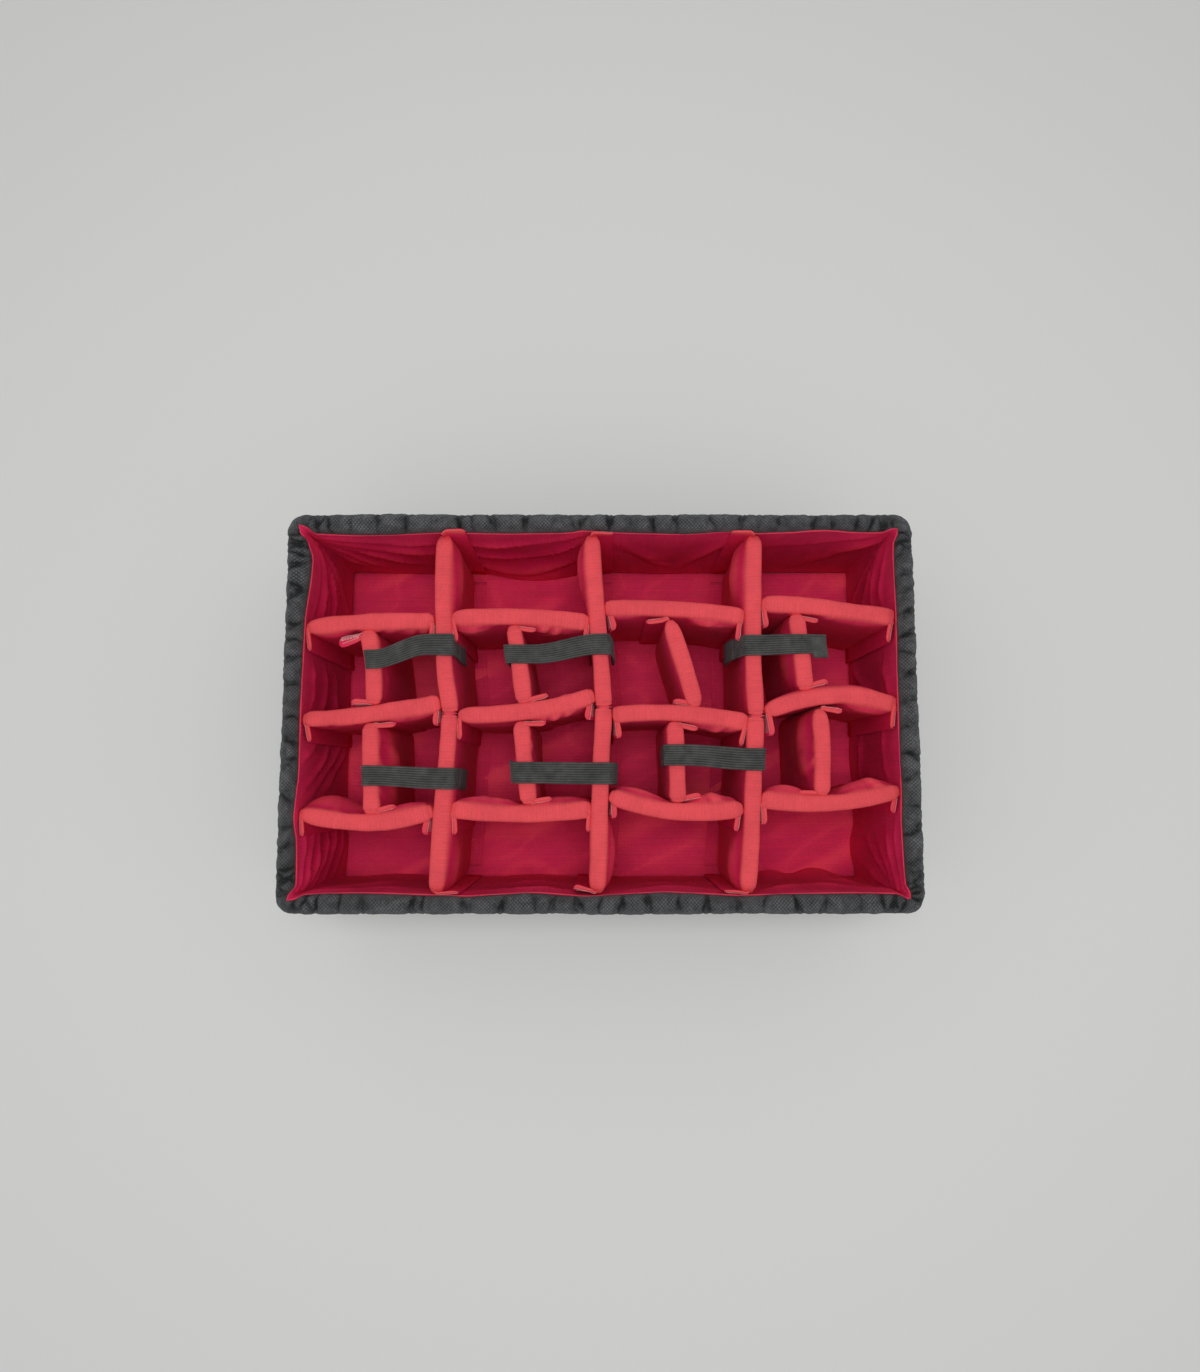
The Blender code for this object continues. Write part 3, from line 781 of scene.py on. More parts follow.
class Finishes:
    """Every material of the set, made once from the colours in the settings."""

    def __init__(self, colours):
        parts = ShaderParts()
        warm, cool = (1.0, 0.35, 0.35), (0.85, 0.92, 1.0)
        # In each look the fold value sets how strongly folds are painted: shade in their valleys,
        # highlight on their ridges
        brushed = {
            "roughness": 0.92,
            "sheen": 0.06,
            "sheen_tint": warm,
            "contrast": 0.045,
            "painted_fold_shade": 0.18,
            "patch": 0.035,
            "bump": 0.35,
            "crinkle": 0.0,
            "specular": 0.15,
        }
        flat = {**brushed, "contrast": 0.05, "bump": 0.45, "painted_fold_shade": 0.30}
        slick = {
            "roughness": 0.6,
            "sheen": 0.1,
            "sheen_tint": cool,
            "contrast": 0.42,
            "painted_fold_shade": 0.8,
            "patch": 0.011,
            "bump": 0.6,
            "crinkle": 0.9,
            "specular": 0.4,
        }
        ribbed = {
            **slick,
            "roughness": 0.8,
            "contrast": 0.3,
            "painted_fold_shade": 0.6,
            "bump": 0.4,
            "crinkle": 0.0,
            "specular": 0.25,
        }
        tape = {**ribbed, "bump": 0.8}
        red, highlight_and_fuzz, lining = tuple(colours.red), tuple(colours.red_highlight_and_fuzz), tuple(colours.lining)
        nylon, elastic = tuple(colours.nylon), tuple(colours.elastic)
        # The paler nylon and elastic are painted highlight on puffs and rib crests; the paler elastic is
        # also the black thread's own colour
        nylon_highlight = tuple(min(1.0, c * 1.5) for c in nylon)
        pale_elastic = tuple(min(1.0, c * 1.6) for c in elastic)
        hook, thread = tuple(colours.hook), tuple(colours.thread)
        pile, diamond, ribs = parts.loop_pile, parts.diamond_weave, parts.thread_ribs
        for key, name, weave, size, colour, highlight_and_fuzz_colour, look in (
            ("sleeve", "red_loop_sleeve", pile, 0.0013, red, highlight_and_fuzz, brushed),
            ("lining", "red_loop_lining", pile, 0.0016, lining, highlight_and_fuzz, flat),
            ("nylon", "black_diamond_nylon", diamond, 0.0040, nylon, nylon_highlight, slick),
            ("elastic", "black_ribbed_elastic", ribs, 0.0007, elastic, pale_elastic, ribbed),
            ("hook", "pale_hook_tape", ribs, 0.0011, hook, hook, tape),
            ("thread", "sewing_thread", ribs, 0.0004, thread, thread, ribbed),
            ("black_thread", "black_sewing_thread", ribs, 0.0004, pale_elastic, pale_elastic, ribbed),
        ):
            made = cloth_material(parts, name, weave, size, colour, highlight_and_fuzz_colour, look)
            setattr(self, key, made)
        self.foam = foam_material(parts, tuple(colours.foam))


MADE = {}


def finishes(context):
    """The set's materials, made at the first call."""
    if "finishes" not in MADE:
        MADE["finishes"] = Finishes(context.scene.divider_colours)
    return MADE["finishes"]


# Dividers


def node_points(node):
    """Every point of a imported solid's mesh."""
    mesh = NODES[node].data
    flat = np.zeros(len(mesh.vertices) * 3)
    mesh.vertices.foreach_get("co", flat)
    return flat.reshape(-1, 3)


def top_points(points, level):
    """Plan points of a solid's flat top at a level, each once."""
    return np.unique(np.round(points[points[:, 2] > level - SAME_LEVEL][:, :2], 5), axis=0)


def centre_line(node):
    """Plan points along a divider's middle, from the flat top of its solid, tip to tip."""
    tops = top_points(node_points(node), PAD_HIGH)
    axis = int(np.argmax(np.ptp(tops, axis=0)))
    tops = tops[np.argsort(tops[:, axis])]
    if len(tops) % 2:
        tops = np.vstack((tops[:2], tops[-2:]))
    middles = (tops[0::2] + tops[1::2]) / 2
    first = middles[0] + unit(middles[0] - middles[1]) * PAD_EDGE
    last = middles[-1] + unit(middles[-1] - middles[-2]) * PAD_EDGE
    return np.vstack((first, middles, last))


def tab_end(node, root, other):
    """Plan point at the free end of the hook tab sewn to the tip at root."""
    points = node_points(node)
    level = PAD_HIGH - TAB_DROP
    ring = points[np.abs(points[:, 2] - level) < 0.0002][:, :2]
    ring = ring[np.linalg.norm(ring - root, axis=1) < 0.03]
    run = unit(np.asarray(root) - other)
    aside = np.abs((ring - root) @ np.array((-run[1], run[0])))
    ring = ring[np.argsort(aside)]
    return ring[-2:].mean(axis=0)


TOP_SQUARENESS = 0.62
# Mesh rows down a pad's side, as shares of its straight part, and angles of its rounded edges
PAD_SIDE_SHARES = (0.015, 0.035, 0.055, 0.075, 0.1, 0.125, 0.155, 0.19, 0.24)
PAD_SIDE_SHARES += (0.3, 0.37, 0.45, 0.54, 0.65, 0.77, 0.89, 1.0)
TOP_DEGREES = (8, 24, 38, 51, 63, 76, 90)
FOOT_DEGREES = (30, 60, 84)


def pad_section(sizes):
    """Half of a pad's section: across share, height share, and the way each point faces."""
    height = PAD_HIGH - PAD_LOW
    rows = []
    for degrees in TOP_DEGREES:
        angle = math.radians(degrees)
        fall = sizes.top_round * (1 - math.cos(angle) ** TOP_SQUARENESS)
        across = math.sin(angle) ** TOP_SQUARENESS
        rows.append((across, 1 - fall / height, math.sin(angle), math.cos(angle)))
    top_side = 1 - sizes.top_round / height
    low_side = PAD_EDGE / height
    for share in PAD_SIDE_SHARES:
        rows.append((1.0, top_side + (low_side - top_side) * share, 1.0, 0.0))
    for degrees in FOOT_DEGREES:
        angle = math.radians(degrees)
        level = low_side * (1 - math.sin(angle) ** 0.7)
        rows.append((math.cos(angle) ** 0.7, level, math.cos(angle), -math.sin(angle)))
    return np.array(rows)


def pad_stations(length, spacing, tip_start, tip_end):
    """Places along a pad, closer where its tips round off."""
    shares = np.array((0.0, 0.02, 0.07, 0.16, 0.3, 0.48, 0.72))
    count = max(2, int(round((length - tip_start - tip_end) / spacing)))
    middle = np.linspace(tip_start, length - tip_end, count + 1)
    return np.concatenate((shares * tip_start, middle, (length - shares * tip_end)[::-1]))


def tip_fullness(distance, tip):
    """How full a pad is near a tip: 0 at its seam, 1 from the tip's length on."""
    share = np.clip(distance / tip, 0, 1)
    return (1 - (1 - share) ** 2.3) ** (1 / 2.3)


def tip_fall(distance, radius):
    """How far a pad's top rounds down towards a tip."""
    share = 1 - np.clip(distance / radius, 0, 1)
    return radius * (1 - np.sqrt(1 - share**2))


# How far from a tip its seam lies, how far a pad ends above its solid's underside, and how far
# to both sides the way of a line is measured
END_SEAM = 0.0048
FLOOR_EASE = 0.0012
RUN_PROBE = 0.002


def pad_grid(node, line, sizes, seed, tips, falls=(0.008, 0.008)):
    """Rings of a puffed pad along a plan line, with the painted shade and highlight of its creases and
    bellies, and its share of painted highlight and raised fuzz.
    """
    length = lengths_along(line)[-1]
    places = pad_stations(length, sizes.row_spacing, *tips)
    centre = resample(line, places)
    before = resample(line, np.clip(places - RUN_PROBE, 0, length))
    after = resample(line, np.clip(places + RUN_PROBE, 0, length))
    ahead = unit(after - before)
    side = np.stack((-ahead[:, 1], ahead[:, 0]), axis=1)
    half = pad_section(sizes)
    mirrored = half[::-1] * np.array((-1, 1, -1, 1))
    across, level, face_side, face_up = np.vstack((half, mirrored)).T
    gaps = places, length - places
    fullness = np.minimum(tip_fullness(gaps[0], tips[0]), tip_fullness(gaps[1], tips[1]))
    track = np.stack((places, np.full_like(places, seed * 1.7), np.zeros_like(places)), axis=1)
    thickness = sizes.half_thickness * (1 + 0.07 * smooth_noise(track, 0.028, seed))
    width = 0.0008 + thickness * fullness
    fall = tip_fall(gaps[0], falls[0]) + tip_fall(gaps[1], falls[1])
    sag = 0.0004 + 0.0008 * (1 + smooth_noise(track, 0.032, seed + 1))
    high = PAD_HIGH - sag - fall
    low = PAD_LOW + FLOOR_EASE + fall * 0.6
    z = low[:, None] + level[None, :] * (high - low)[:, None]
    belly = sizes.belly * np.sin(math.pi * np.clip(level, 0, 1))[None, :]
    belly = belly * np.sin(math.pi * places / length)[:, None]
    lean = 0.0013 * smooth_noise(track, 0.05, seed + 2)[:, None] * level[None, :] ** 3
    offset = across[None, :] * (width[:, None] + belly) + lean
    flank = np.sign(across)
    relief = pad_creases(places, z, flank, level, np.minimum(*gaps), sizes, seed)
    for bunch in BUNCHES.get(node, ()):
        relief = relief + bunched_folds(places / length, places, z, flank, bunch, sizes, seed)
    swells, glow = np.zeros_like(z), np.zeros_like(z)
    for swell in SWELLS.get(node, ()):
        belly_out = swelling(places / length, z, flank, swell)
        # Painted highlight: a belly is lighter near the pad's top, where light falls on it
        lit_depth = GLOW_DEPTH * swell[4]
        lit = smooth_step(belly_out, 0.001, 0.006) * np.exp(-np.maximum(PAD_HIGH - z, 0) / lit_depth)
        swells, glow = swells + belly_out, np.maximum(glow, lit)
    push = relief * fullness[:, None] + swells
    offset = offset + push * face_side[None, :]
    grid = np.empty((len(places), len(across), 3))
    grid[..., :2] = centre[:, None, :] + side[:, None, :] * offset[..., None]
    grid[..., 2] = z + np.minimum(push * face_up[None, :], 0.0004)
    # Painted highlight and raised fuzz on the top edge and the lit bellies; the relief value paints shade
    # in the creases and highlight on the bellies
    fuzz = SWELL_HIGHLIGHT_AND_FUZZ.get(node, USUAL_HIGHLIGHT_AND_FUZZ)
    wear = np.maximum(smooth_step(level, 0.945, 0.987)[None, :], fuzz * glow)
    light = relief / (sizes.crease * 1.4) + glow * swells / 0.016
    return grid, np.clip(light, -1, 1), wear


def pad_creases(places, z, flank, level, nearest, sizes, seed):
    """How far each point of a pad stands out: gathers by the tips, loose creases, soft dents."""
    run = np.broadcast_to(places[:, None], z.shape)
    face = np.broadcast_to(flank[None, :], z.shape)
    spot = np.stack((run, z, face * 0.5), axis=-1)
    dents = smooth_noise(spot, (0.034, 0.045, 1.0), seed + 3) * 0.4
    diagonal = np.stack((run + z * 0.45, z - run * 0.25, face * 0.5), axis=-1)
    folds = np.maximum(smooth_noise(diagonal, (0.055, 0.017, 1.0), seed + 4) - 0.12, 0) * 1.6
    valleys = np.abs(smooth_noise(diagonal, (0.030, 0.050, 1.0), seed + 7))
    sharp = -np.exp(-valleys / 0.07) * 0.5
    below_top = smooth_step(level, 0.995, 0.93)[None, :] * (0.4 + 0.6 * level[None, :] ** 2)
    level_spot = np.stack((run, np.zeros_like(z), face), axis=-1)
    pucker = smooth_noise(level_spot, (0.011, 1.0, 1.0), seed + 5) * 0.25
    near_top = np.exp(-(1 - level[None, :]) / 0.05)
    sewn_spot = np.stack((run * 0.25, z, face), axis=-1)
    gathers = np.abs(smooth_noise(sewn_spot, (0.02, 0.009, 1.0), seed + 6)) - 0.3
    by_tip = np.exp(-nearest / 0.012)[:, None]
    loose = sizes.crease * (dents + (folds + sharp) * below_top + pucker * near_top)
    seam = np.exp(-(((nearest - END_SEAM) / 0.0013) ** 2))[:, None]
    return loose + sizes.gather * (gathers * by_tip * (1 - near_top * 0.3) - 0.45 * seam)


def swelling(shares, z, flank, swell):
    """How far one face of a pad bellies out under its top."""
    start, end, face, reach, fullest = swell
    along = np.sin(math.pi * np.clip((shares - start) / (end - start), 0, 1)) ** 0.8
    below = PAD_HIGH - z
    down = smooth_step(below, 0.002, fullest) * np.exp(-np.maximum(below - fullest, 0) / SWELL_FADE)
    foot = smooth_step(z, PAD_LOW, PAD_LOW + SWELL_FOOT)
    return reach * along[:, None] * down * foot * (flank == face)[None, :]


def bunched_folds(shares, places, z, flank, bunch, sizes, seed):
    """Scalloped folds of a sleeve that is loose below its top edge."""
    start, end, face, strength, depth = bunch
    window = smooth_step(shares, start, start + 0.08) * smooth_step(shares, end, end - 0.08)
    below = PAD_HIGH - z
    fade = smooth_step(below, 0.0035, 0.010) * np.exp(-np.maximum(below - 0.010, 0) / depth)
    run = np.broadcast_to(places[:, None], z.shape)
    spot = np.stack((run + below * 0.35, below, np.zeros_like(run)), axis=-1)
    scallops = np.abs(smooth_noise(spot, (0.014, 0.05, 1.0), seed + 8)) * 1.6 - 0.45
    on_face = (flank == face)[None, :]
    return strength * sizes.bunch * scallops * fade * window[:, None] * on_face


# A tab's mesh rows from its bottom up and its columns from its root out, as shares
TAB_ROWS = (0, 0.1, 0.24, 0.38, 0.52, 0.64, 0.74, 0.82, 0.88, 0.92, 0.95, 0.97, 0.983, 0.992, 0.997, 1)
TAB_SHARES = np.array((0.0, 0.08, 0.18, 0.3, 0.44, 0.58, 0.72, 0.84, 0.93, 0.98, 1.0))
# How full a tab's hem is, at depths below its top edge
HEM_DEPTHS = (0, 0.0006, 0.0018, 0.004, 0.009)
HEM_FULLNESS = (0.5, 0.95, 1.3, 1.3, 0.8)
TAB_FOLD = 0.0034
TAB_FLARE_DEPTH = 0.011
PALE_STITCH_REACH = 0.016
# How far a tab's cloth reaches past its solid, as usual and where its hook tape is turned up
TAB_EXTRA = 0.005
PALE_TAB_EXTRA = 0.013
TAPE_INSET = 0.003
PALE_TAPE_INSET = 0.0008


def tab_levels(high):
    """Heights of a tab's rows from its bottom to its top, closer by the top."""
    low = PAD_LOW + TAB_DROP
    return low + (high - low) * np.array(TAB_ROWS)


def tab_layer(root, free, outward, layer, flare, high, seed, inset=0.0):
    """Rings of one layer of a hook tab, from its bottom up. layer is its offset and thickness."""
    run = unit(free - root)
    reach = np.linalg.norm(free - root) - inset
    rings = []
    for z in tab_levels(high - inset):
        by_top = math.exp(-(high - z) / TAB_FLARE_DEPTH)
        cut = 0.004 * max(0.0, 1 - (high - inset - z) / 0.004) ** 2
        distances = TAB_SHARES * (reach - cut)
        bend = TAB_FOLD * np.clip(1 - distances / 0.005, 0, 1) ** 2
        spread = np.clip(TAB_SHARES / 0.3, 0, 1)
        lift = flare * by_top * (0.45 * spread + 0.65 * TAB_SHARES)
        spots = np.stack((distances, np.full_like(distances, z), np.full_like(distances, seed)), axis=1)
        ripple = 0.0011 * smooth_noise(spots, (0.010, 0.022, 1.0), seed) * TAB_SHARES
        offset = layer[0] + bend + lift + ripple * (0.35 + 0.65 * by_top)
        slope = np.gradient(offset, distances + np.arange(len(TAB_SHARES)) * 1e-9)
        facing = unit(outward[None, :] - run[None, :] * np.clip(slope, -2, 2)[:, None])
        middle = root + run * distances[:, None] + outward * offset[:, None]
        rim = np.sqrt(np.clip(1 - (np.abs(TAB_SHARES - 0.5) * 2) ** 8, 0.12, 1))
        hem = np.interp(high - inset - z, HEM_DEPTHS, HEM_FULLNESS)
        thick = facing * (layer[1] / 2 * rim * hem)[:, None]
        ring = np.vstack((middle + thick, (middle - thick)[::-1]))
        droop = -(0.0008 + 0.7 * flare * spread) * (0.3 + 0.7 * TAB_SHARES) * by_top
        rings.append(np.column_stack((ring, z + np.concatenate((droop, droop[::-1])))))
    return np.array(rings)


def zigzag(course, pitch, height):
    """Points that swing above and below a line, for a zigzag seam."""
    places = np.arange(0, lengths_along(course)[-1], pitch / 2)
    points = resample(course, places)
    points[:, 2] += height / 2 * (-1.0) ** np.arange(len(points))
    return points


def add_tab(cloth, root, free, inside, flare, high, seed, pale=False, thickness=0.0036):
    """A hook tab: red fabric outside, hook tape towards its host, a zigzag seam at its top."""
    root, free = np.asarray(root, float), np.asarray(free, float)
    run = unit(free - root)
    free = free + run * (PALE_TAB_EXTRA if pale else TAB_EXTRA)
    outward = np.array((-run[1], run[0]))
    if (np.asarray(inside) - root) @ outward < 0:
        outward = -outward
    fabric = tab_layer(root, free, outward, (0.0003 + thickness / 2, thickness), flare, high, seed)
    inset = PALE_TAPE_INSET if pale else TAPE_INSET
    tape = tab_layer(root, free, outward, (0.0003, 0.0009), flare, high, seed, inset)
    # Painted highlight and raised fuzz towards the tab's top edge, where light falls from above
    wear = smooth_step(fabric[..., 2], high - 0.014, high - 0.003)
    cloth.add(fabric, 0, around=True, capped=True, wear=wear)
    cloth.add(tape, 1, around=True, capped=True)
    columns = len(TAB_SHARES)
    host_face = (tape if pale else fabric)[:, ::-1][:, :columns]
    away = np.array((*(outward * -0.0002), 0.0))
    if pale:
        for row in (-2, -4, -5, -6, -7, -8):
            cloth.stitches(host_face[row, :-1] + away, 2, length=0.003, pause=0.0004, radius=0.0005)
    else:
        cloth.stitches(zigzag(host_face[-4, 1:-1] + away, 0.0026, 0.0014), 2, 0.0013, 0.00005, 0.0003)
    edge = host_face[2:-3, -2] + away
    upper = edge[edge[:, 2] > high - PALE_STITCH_REACH]
    cloth.stitches(upper, 2, radius=0.0003)
    cloth.stitches(fabric[2:-3, columns - 2] - away, 0)


# For each cross divider: how its tips round off, from its left end to its right, and how far
# the free ends of its tabs stand off their hosts.
TIP_SHAPES = {
    "back_cross_1": ((0.024, 0.009), (0.003, 0.002)),
    "back_cross_2": ((0.024, 0.009), (0.003, 0.004)),
    "back_cross_3": ((0.006, 0.006), (0.007, 0.007)),
    "back_cross_4": ((0.014, 0.006), (0.005, 0.005)),
    "middle_cross_1": ((0.018, 0.008), (0.006, 0.006)),
    "middle_cross_2": ((0.020, 0.007), (0.003, 0.009)),
    "middle_cross_3": ((0.006, 0.008), (0.007, 0.004)),
    "middle_cross_4": ((0.018, 0.006), (0.008, 0.004)),
    "front_cross_1": ((0.024, 0.010), (0.003, 0.009)),
    "front_cross_2": ((0.008, 0.008), (0.006, 0.003)),
    "front_cross_3": ((0.015, 0.012), (0.007, 0.007)),
    "front_cross_4": ((0.008, 0.016), (0.005, 0.008)),
}
# The same for the short dividers, from front to back
SHORT_TIPS = (0.010, 0.012)
SHORT_TIP_SHAPES = {"back_short_3": (0.016, 0.026), "front_short_4": (0.014, 0.024)}
SHORT_FLARES = {
    "back_short_1": (0.006, 0.014),
    "back_short_2": (0.004, 0.005),
    "back_short_3": (0.006, 0.006),
    "back_short_4": (0.006, 0.006),
    "front_short_1": (0.005, 0.006),
    "front_short_2": (0.004, 0.006),
    "front_short_3": (0.008, 0.006),
    "front_short_4": (0.005, 0.006),
}

# Where a sleeve bunches below its top: its start and end as shares of the divider, the face
# (1 is its left or back one), how strongly, and how deep down it fades.
BUNCHES = {
    "back_cross_1": ((0.30, 1.0, -1, 1.0, 0.02),),
    "back_cross_2": ((0.42, 0.85, -1, 1.2, 0.03), (0.0, 0.35, -1, 0.5, 0.05)),
    "back_cross_3": ((0.58, 0.95, -1, 0.6, 0.05),),
    "back_cross_4": ((0.1, 0.6, -1, 0.9, 0.02),),
    "middle_cross_1": ((0.1, 0.5, -1, 0.6, 0.02), (0.5, 1.0, -1, 0.8, 0.03)),
    "middle_cross_2": ((0.55, 0.95, -1, 0.9, 0.025), (0.7, 0.95, 1, 0.7, 0.02)),
    "middle_cross_3": ((0.5, 1.0, -1, 1.0, 0.03),),
    "middle_cross_4": ((0.02, 0.28, -1, 0.7, 0.03),),
    "front_cross_1": ((0.2, 0.7, 1, 0.9, 0.04),),
    "front_cross_2": ((0.1, 0.9, 1, 0.5, 0.03),),
    "front_cross_3": ((0.35, 0.95, 1, 1.2, 0.025),),
    "front_cross_4": ((0.3, 1.0, 1, 1.2, 0.03),),
    "front_short_4": ((0.2, 1.0, 1, 0.9, 0.09),),
    "front_short_1": ((0.1, 0.9, -1, 0.6, 0.06),),
    "front_short_2": ((0.1, 0.9, -1, 0.6, 0.05),),
    "back_short_1": ((0.3, 0.9, -1, 0.5, 0.04),),
}

# Where a pad's face bellies out under its top: start and end as shares of the divider, the
# face, how far in metres, and how deep under the top it is fullest.
SWELLS = {
    "back_cross_1": ((0.05, 0.36, -1, 0.003, 0.014), (0.5, 0.98, -1, 0.003, 0.014)),
    "back_cross_2": ((-0.05, 0.30, -1, 0.008, 0.018), (0.42, 0.98, -1, 0.006, 0.016)),
    "back_cross_3": ((0.02, 0.26, -1, 0.003, 0.014), (0.60, 0.99, -1, 0.006, 0.016)),
    "back_cross_4": ((0.45, 0.98, -1, 0.004, 0.014),),
    "middle_cross_1": ((0.5, 0.98, -1, 0.004, 0.014),),
    "middle_cross_2": ((0.5, 0.95, -1, 0.005, 0.014),),
    "middle_cross_3": ((0.52, 0.98, -1, 0.006, 0.016),),
    "middle_cross_4": ((0.6, 0.98, -1, 0.006, 0.016), (0.1, 0.9, 1, 0.004, 0.014)),
    "front_cross_1": ((-0.12, 0.47, 1, 0.016, 0.050), (0.62, 0.98, 1, 0.007, 0.016)),
    "front_cross_2": ((0.02, 0.48, 1, 0.009, 0.020), (0.55, 0.97, 1, 0.008, 0.020)),
    "front_cross_3": ((0.02, 0.46, 1, 0.008, 0.020), (0.56, 0.98, 1, 0.010, 0.020)),
    "front_cross_4": ((0.02, 0.36, 1, 0.010, 0.018), (0.55, 0.98, 1, 0.012, 0.024)),
    "front_short_1": ((0.0, 1.0, -1, 0.010, 0.060),),
    "front_short_4": ((0.2, 1.0, 1, 0.009, 0.050),),
    "back_short_4": ((0.05, 0.9, 1, 0.006, 0.040),),
    "left_long_back_pad": ((0.3, 0.98, -1, 0.0035, 0.014), (0.56, 1.02, -1, 0.007, 0.045)),
    "left_long_front_pad": ((0.05, 0.7, -1, 0.004, 0.014), (-0.03, 0.33, -1, 0.007, 0.050)),
    "middle_long_back_pad": ((0.3, 0.98, 1, 0.003, 0.014), (0.62, 1.03, 1, 0.008, 0.045)),
    "middle_long_front_pad": ((-0.02, 0.40, -1, 0.009, 0.040),),
    "right_long_front_pad": ((-0.02, 0.34, 1, 0.009, 0.045),),
    "right_long_back_pad": ((0.3, 0.98, 1, 0.003, 0.014), (0.60, 1.04, 1, 0.010, 0.050)),
}
# Below its fullest depth a belly fades over SWELL_FADE, and by the pad's foot over SWELL_FOOT.
# It is painted lighter, as a highlight where light falls on it, down to about GLOW_DEPTH times that depth.
SWELL_FADE = 0.055
SWELL_FOOT = 0.03
GLOW_DEPTH = 2.0
# How much painted highlight and raised fuzz colour a lit belly takes, where it isn't the usual share
USUAL_HIGHLIGHT_AND_FUZZ = 0.8
SWELL_HIGHLIGHT_AND_FUZZ = {"front_cross_1": 0.45, "front_short_1": 0.4, "front_short_4": 0.5}
SWELL_HIGHLIGHT_AND_FUZZ.update({f"{name}_{end}_pad": 0.5 for name in LONG_NAMES for end in ("back", "front")})

# The tab whose hook tape is turned up, and the dividers that are pulled a little to one side
PALE_TAB = "back_short_1"
STANDS_ASIDE = {
    "back_short_1": (-0.005, 0.0),
    "back_short_3": (0.0, -0.0015),
    "front_short_4": (0.0008, -0.0012),
}


def divider_finishes(made):
    """A divider's materials: its sleeve, its hook tape and its thread."""
    return (made.sleeve, made.hook, made.thread)


def finish_divider(obj, node, body):
    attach(obj, body)
    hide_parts(node)


def body_of_node(node):
    """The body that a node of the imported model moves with."""
    for body, members in frame["record"]["behaviour"]["bodies"].items():
        if node in members:
            return body
    raise ValueError(f"no body holds {node}")


def make_divider(context, node, tips, flares, seed, tab_node=None):
    """A cross or short divider: its puffed pad and the hook tabs at both tips."""
    sizes = context.scene.divider_pads
    made = finishes(context)
    shift = np.array(STANDS_ASIDE.get(node, (0.0, 0.0)))
    line = centre_line(node) + shift
    cloth = ClothMesh()
    grid, relief, wear = pad_grid(node, line, sizes, seed, tips)
    cloth.add(grid, 0, around=True, capped=True, relief=relief, wear=wear)
    inside = line.mean(axis=0)
    for number, (root, beside) in enumerate(((line[0], line[1]), (line[-1], line[-2]))):
        if tab_node and number == 1:
            continue
        free = tab_end(node, root - shift, beside - shift) + shift
        pale = node == PALE_TAB and number == 1
        add_tab(cloth, root, free, inside, flares[number], TAB_TOP, seed + 20 + number, pale)
    obj = cloth.build(f"{node}_sleeve", divider_finishes(made))
    finish_divider(obj, node, body_of_node(node))
    if tab_node:
        make_swing_tab(context, tab_node, line, inside, seed + 30)


def make_swing_tab(context, node, line, inside, seed):
    """The back tab of a divider that swings: it stays on its host as a piece of its own."""
    made = finishes(context)
    low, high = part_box(node)
    root = line[-1] + unit(line[-1] - line[-2]) * 0.001
    far_x = low.x if abs(low.x - root[0]) > abs(high.x - root[0]) else high.x
    middle_y = (low.y + high.y) / 2
    cloth = ClothMesh()
    add_tab(cloth, (root[0], middle_y), (far_x, middle_y), inside, 0.006, TAB_TOP, seed)
    obj = cloth.build(f"{node}_cloth", divider_finishes(made))
    finish_divider(obj, node, body_of_node(node))


# Long dividers

JOINT_TIP = 0.0042
WALL_TIP = 0.019
JOINT_GAP = 0.0008
JOINT_HALF_X = 0.0072
JOINT_HALF_Y = 0.0021
# For each wall flap: how far its free end leans in, and how far it stands above the pads
WALL_FLAPS = {
    "left_long_back": (-0.003, 0.0105),
    "middle_long_back": (0.001, 0.0075),
    "right_long_back": (-0.001, 0.0085),
    "left_long_front": (0.003, 0.006),
    "middle_long_front": (0.007, 0.005),
    "right_long_front": (0.003, 0.005),
}


def make_long_divider(context, name, seed):
    """Two pads that meet at a pinched, sewn joint, with a folded tab at each wall."""
    sizes = context.scene.divider_pads
    made = finishes(context)
    joint_low, joint_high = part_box(f"{name}_joint")
    joint_y = (joint_low.y + joint_high.y) / 2
    for number, (end, way) in enumerate((("front", -1), ("back", 1))):
        node = f"{name}_{end}_pad"
        line = centre_line(node)
        line[0 if way > 0 else -1][1] = joint_y + way * JOINT_GAP
        tips, falls = (JOINT_TIP, WALL_TIP), (0.003, 0.012)
        if way < 0:
            tips, falls = tips[::-1], falls[::-1]
        cloth = ClothMesh()
        grid, relief, wear = pad_grid(node, line, sizes, seed + number * 7, tips, falls)
        cloth.add(grid, 0, around=True, capped=True, relief=relief, wear=wear)
        root, beside = (line[-1], line[-2]) if way > 0 else (line[0], line[1])
        free = tab_end(node, root, beside)
        flare, above = WALL_FLAPS[f"{name}_{end}"]
        inside = line.mean(axis=0)
        add_tab(cloth, root, free, inside, flare, PAD_HIGH + above, seed + 40 + number, thickness=0.0022)
        obj = cloth.build(f"{name}_{end}_sleeve", divider_finishes(made))
        finish_divider(obj, node, name)
    make_joint(context, name, joint_low, joint_high, seed)


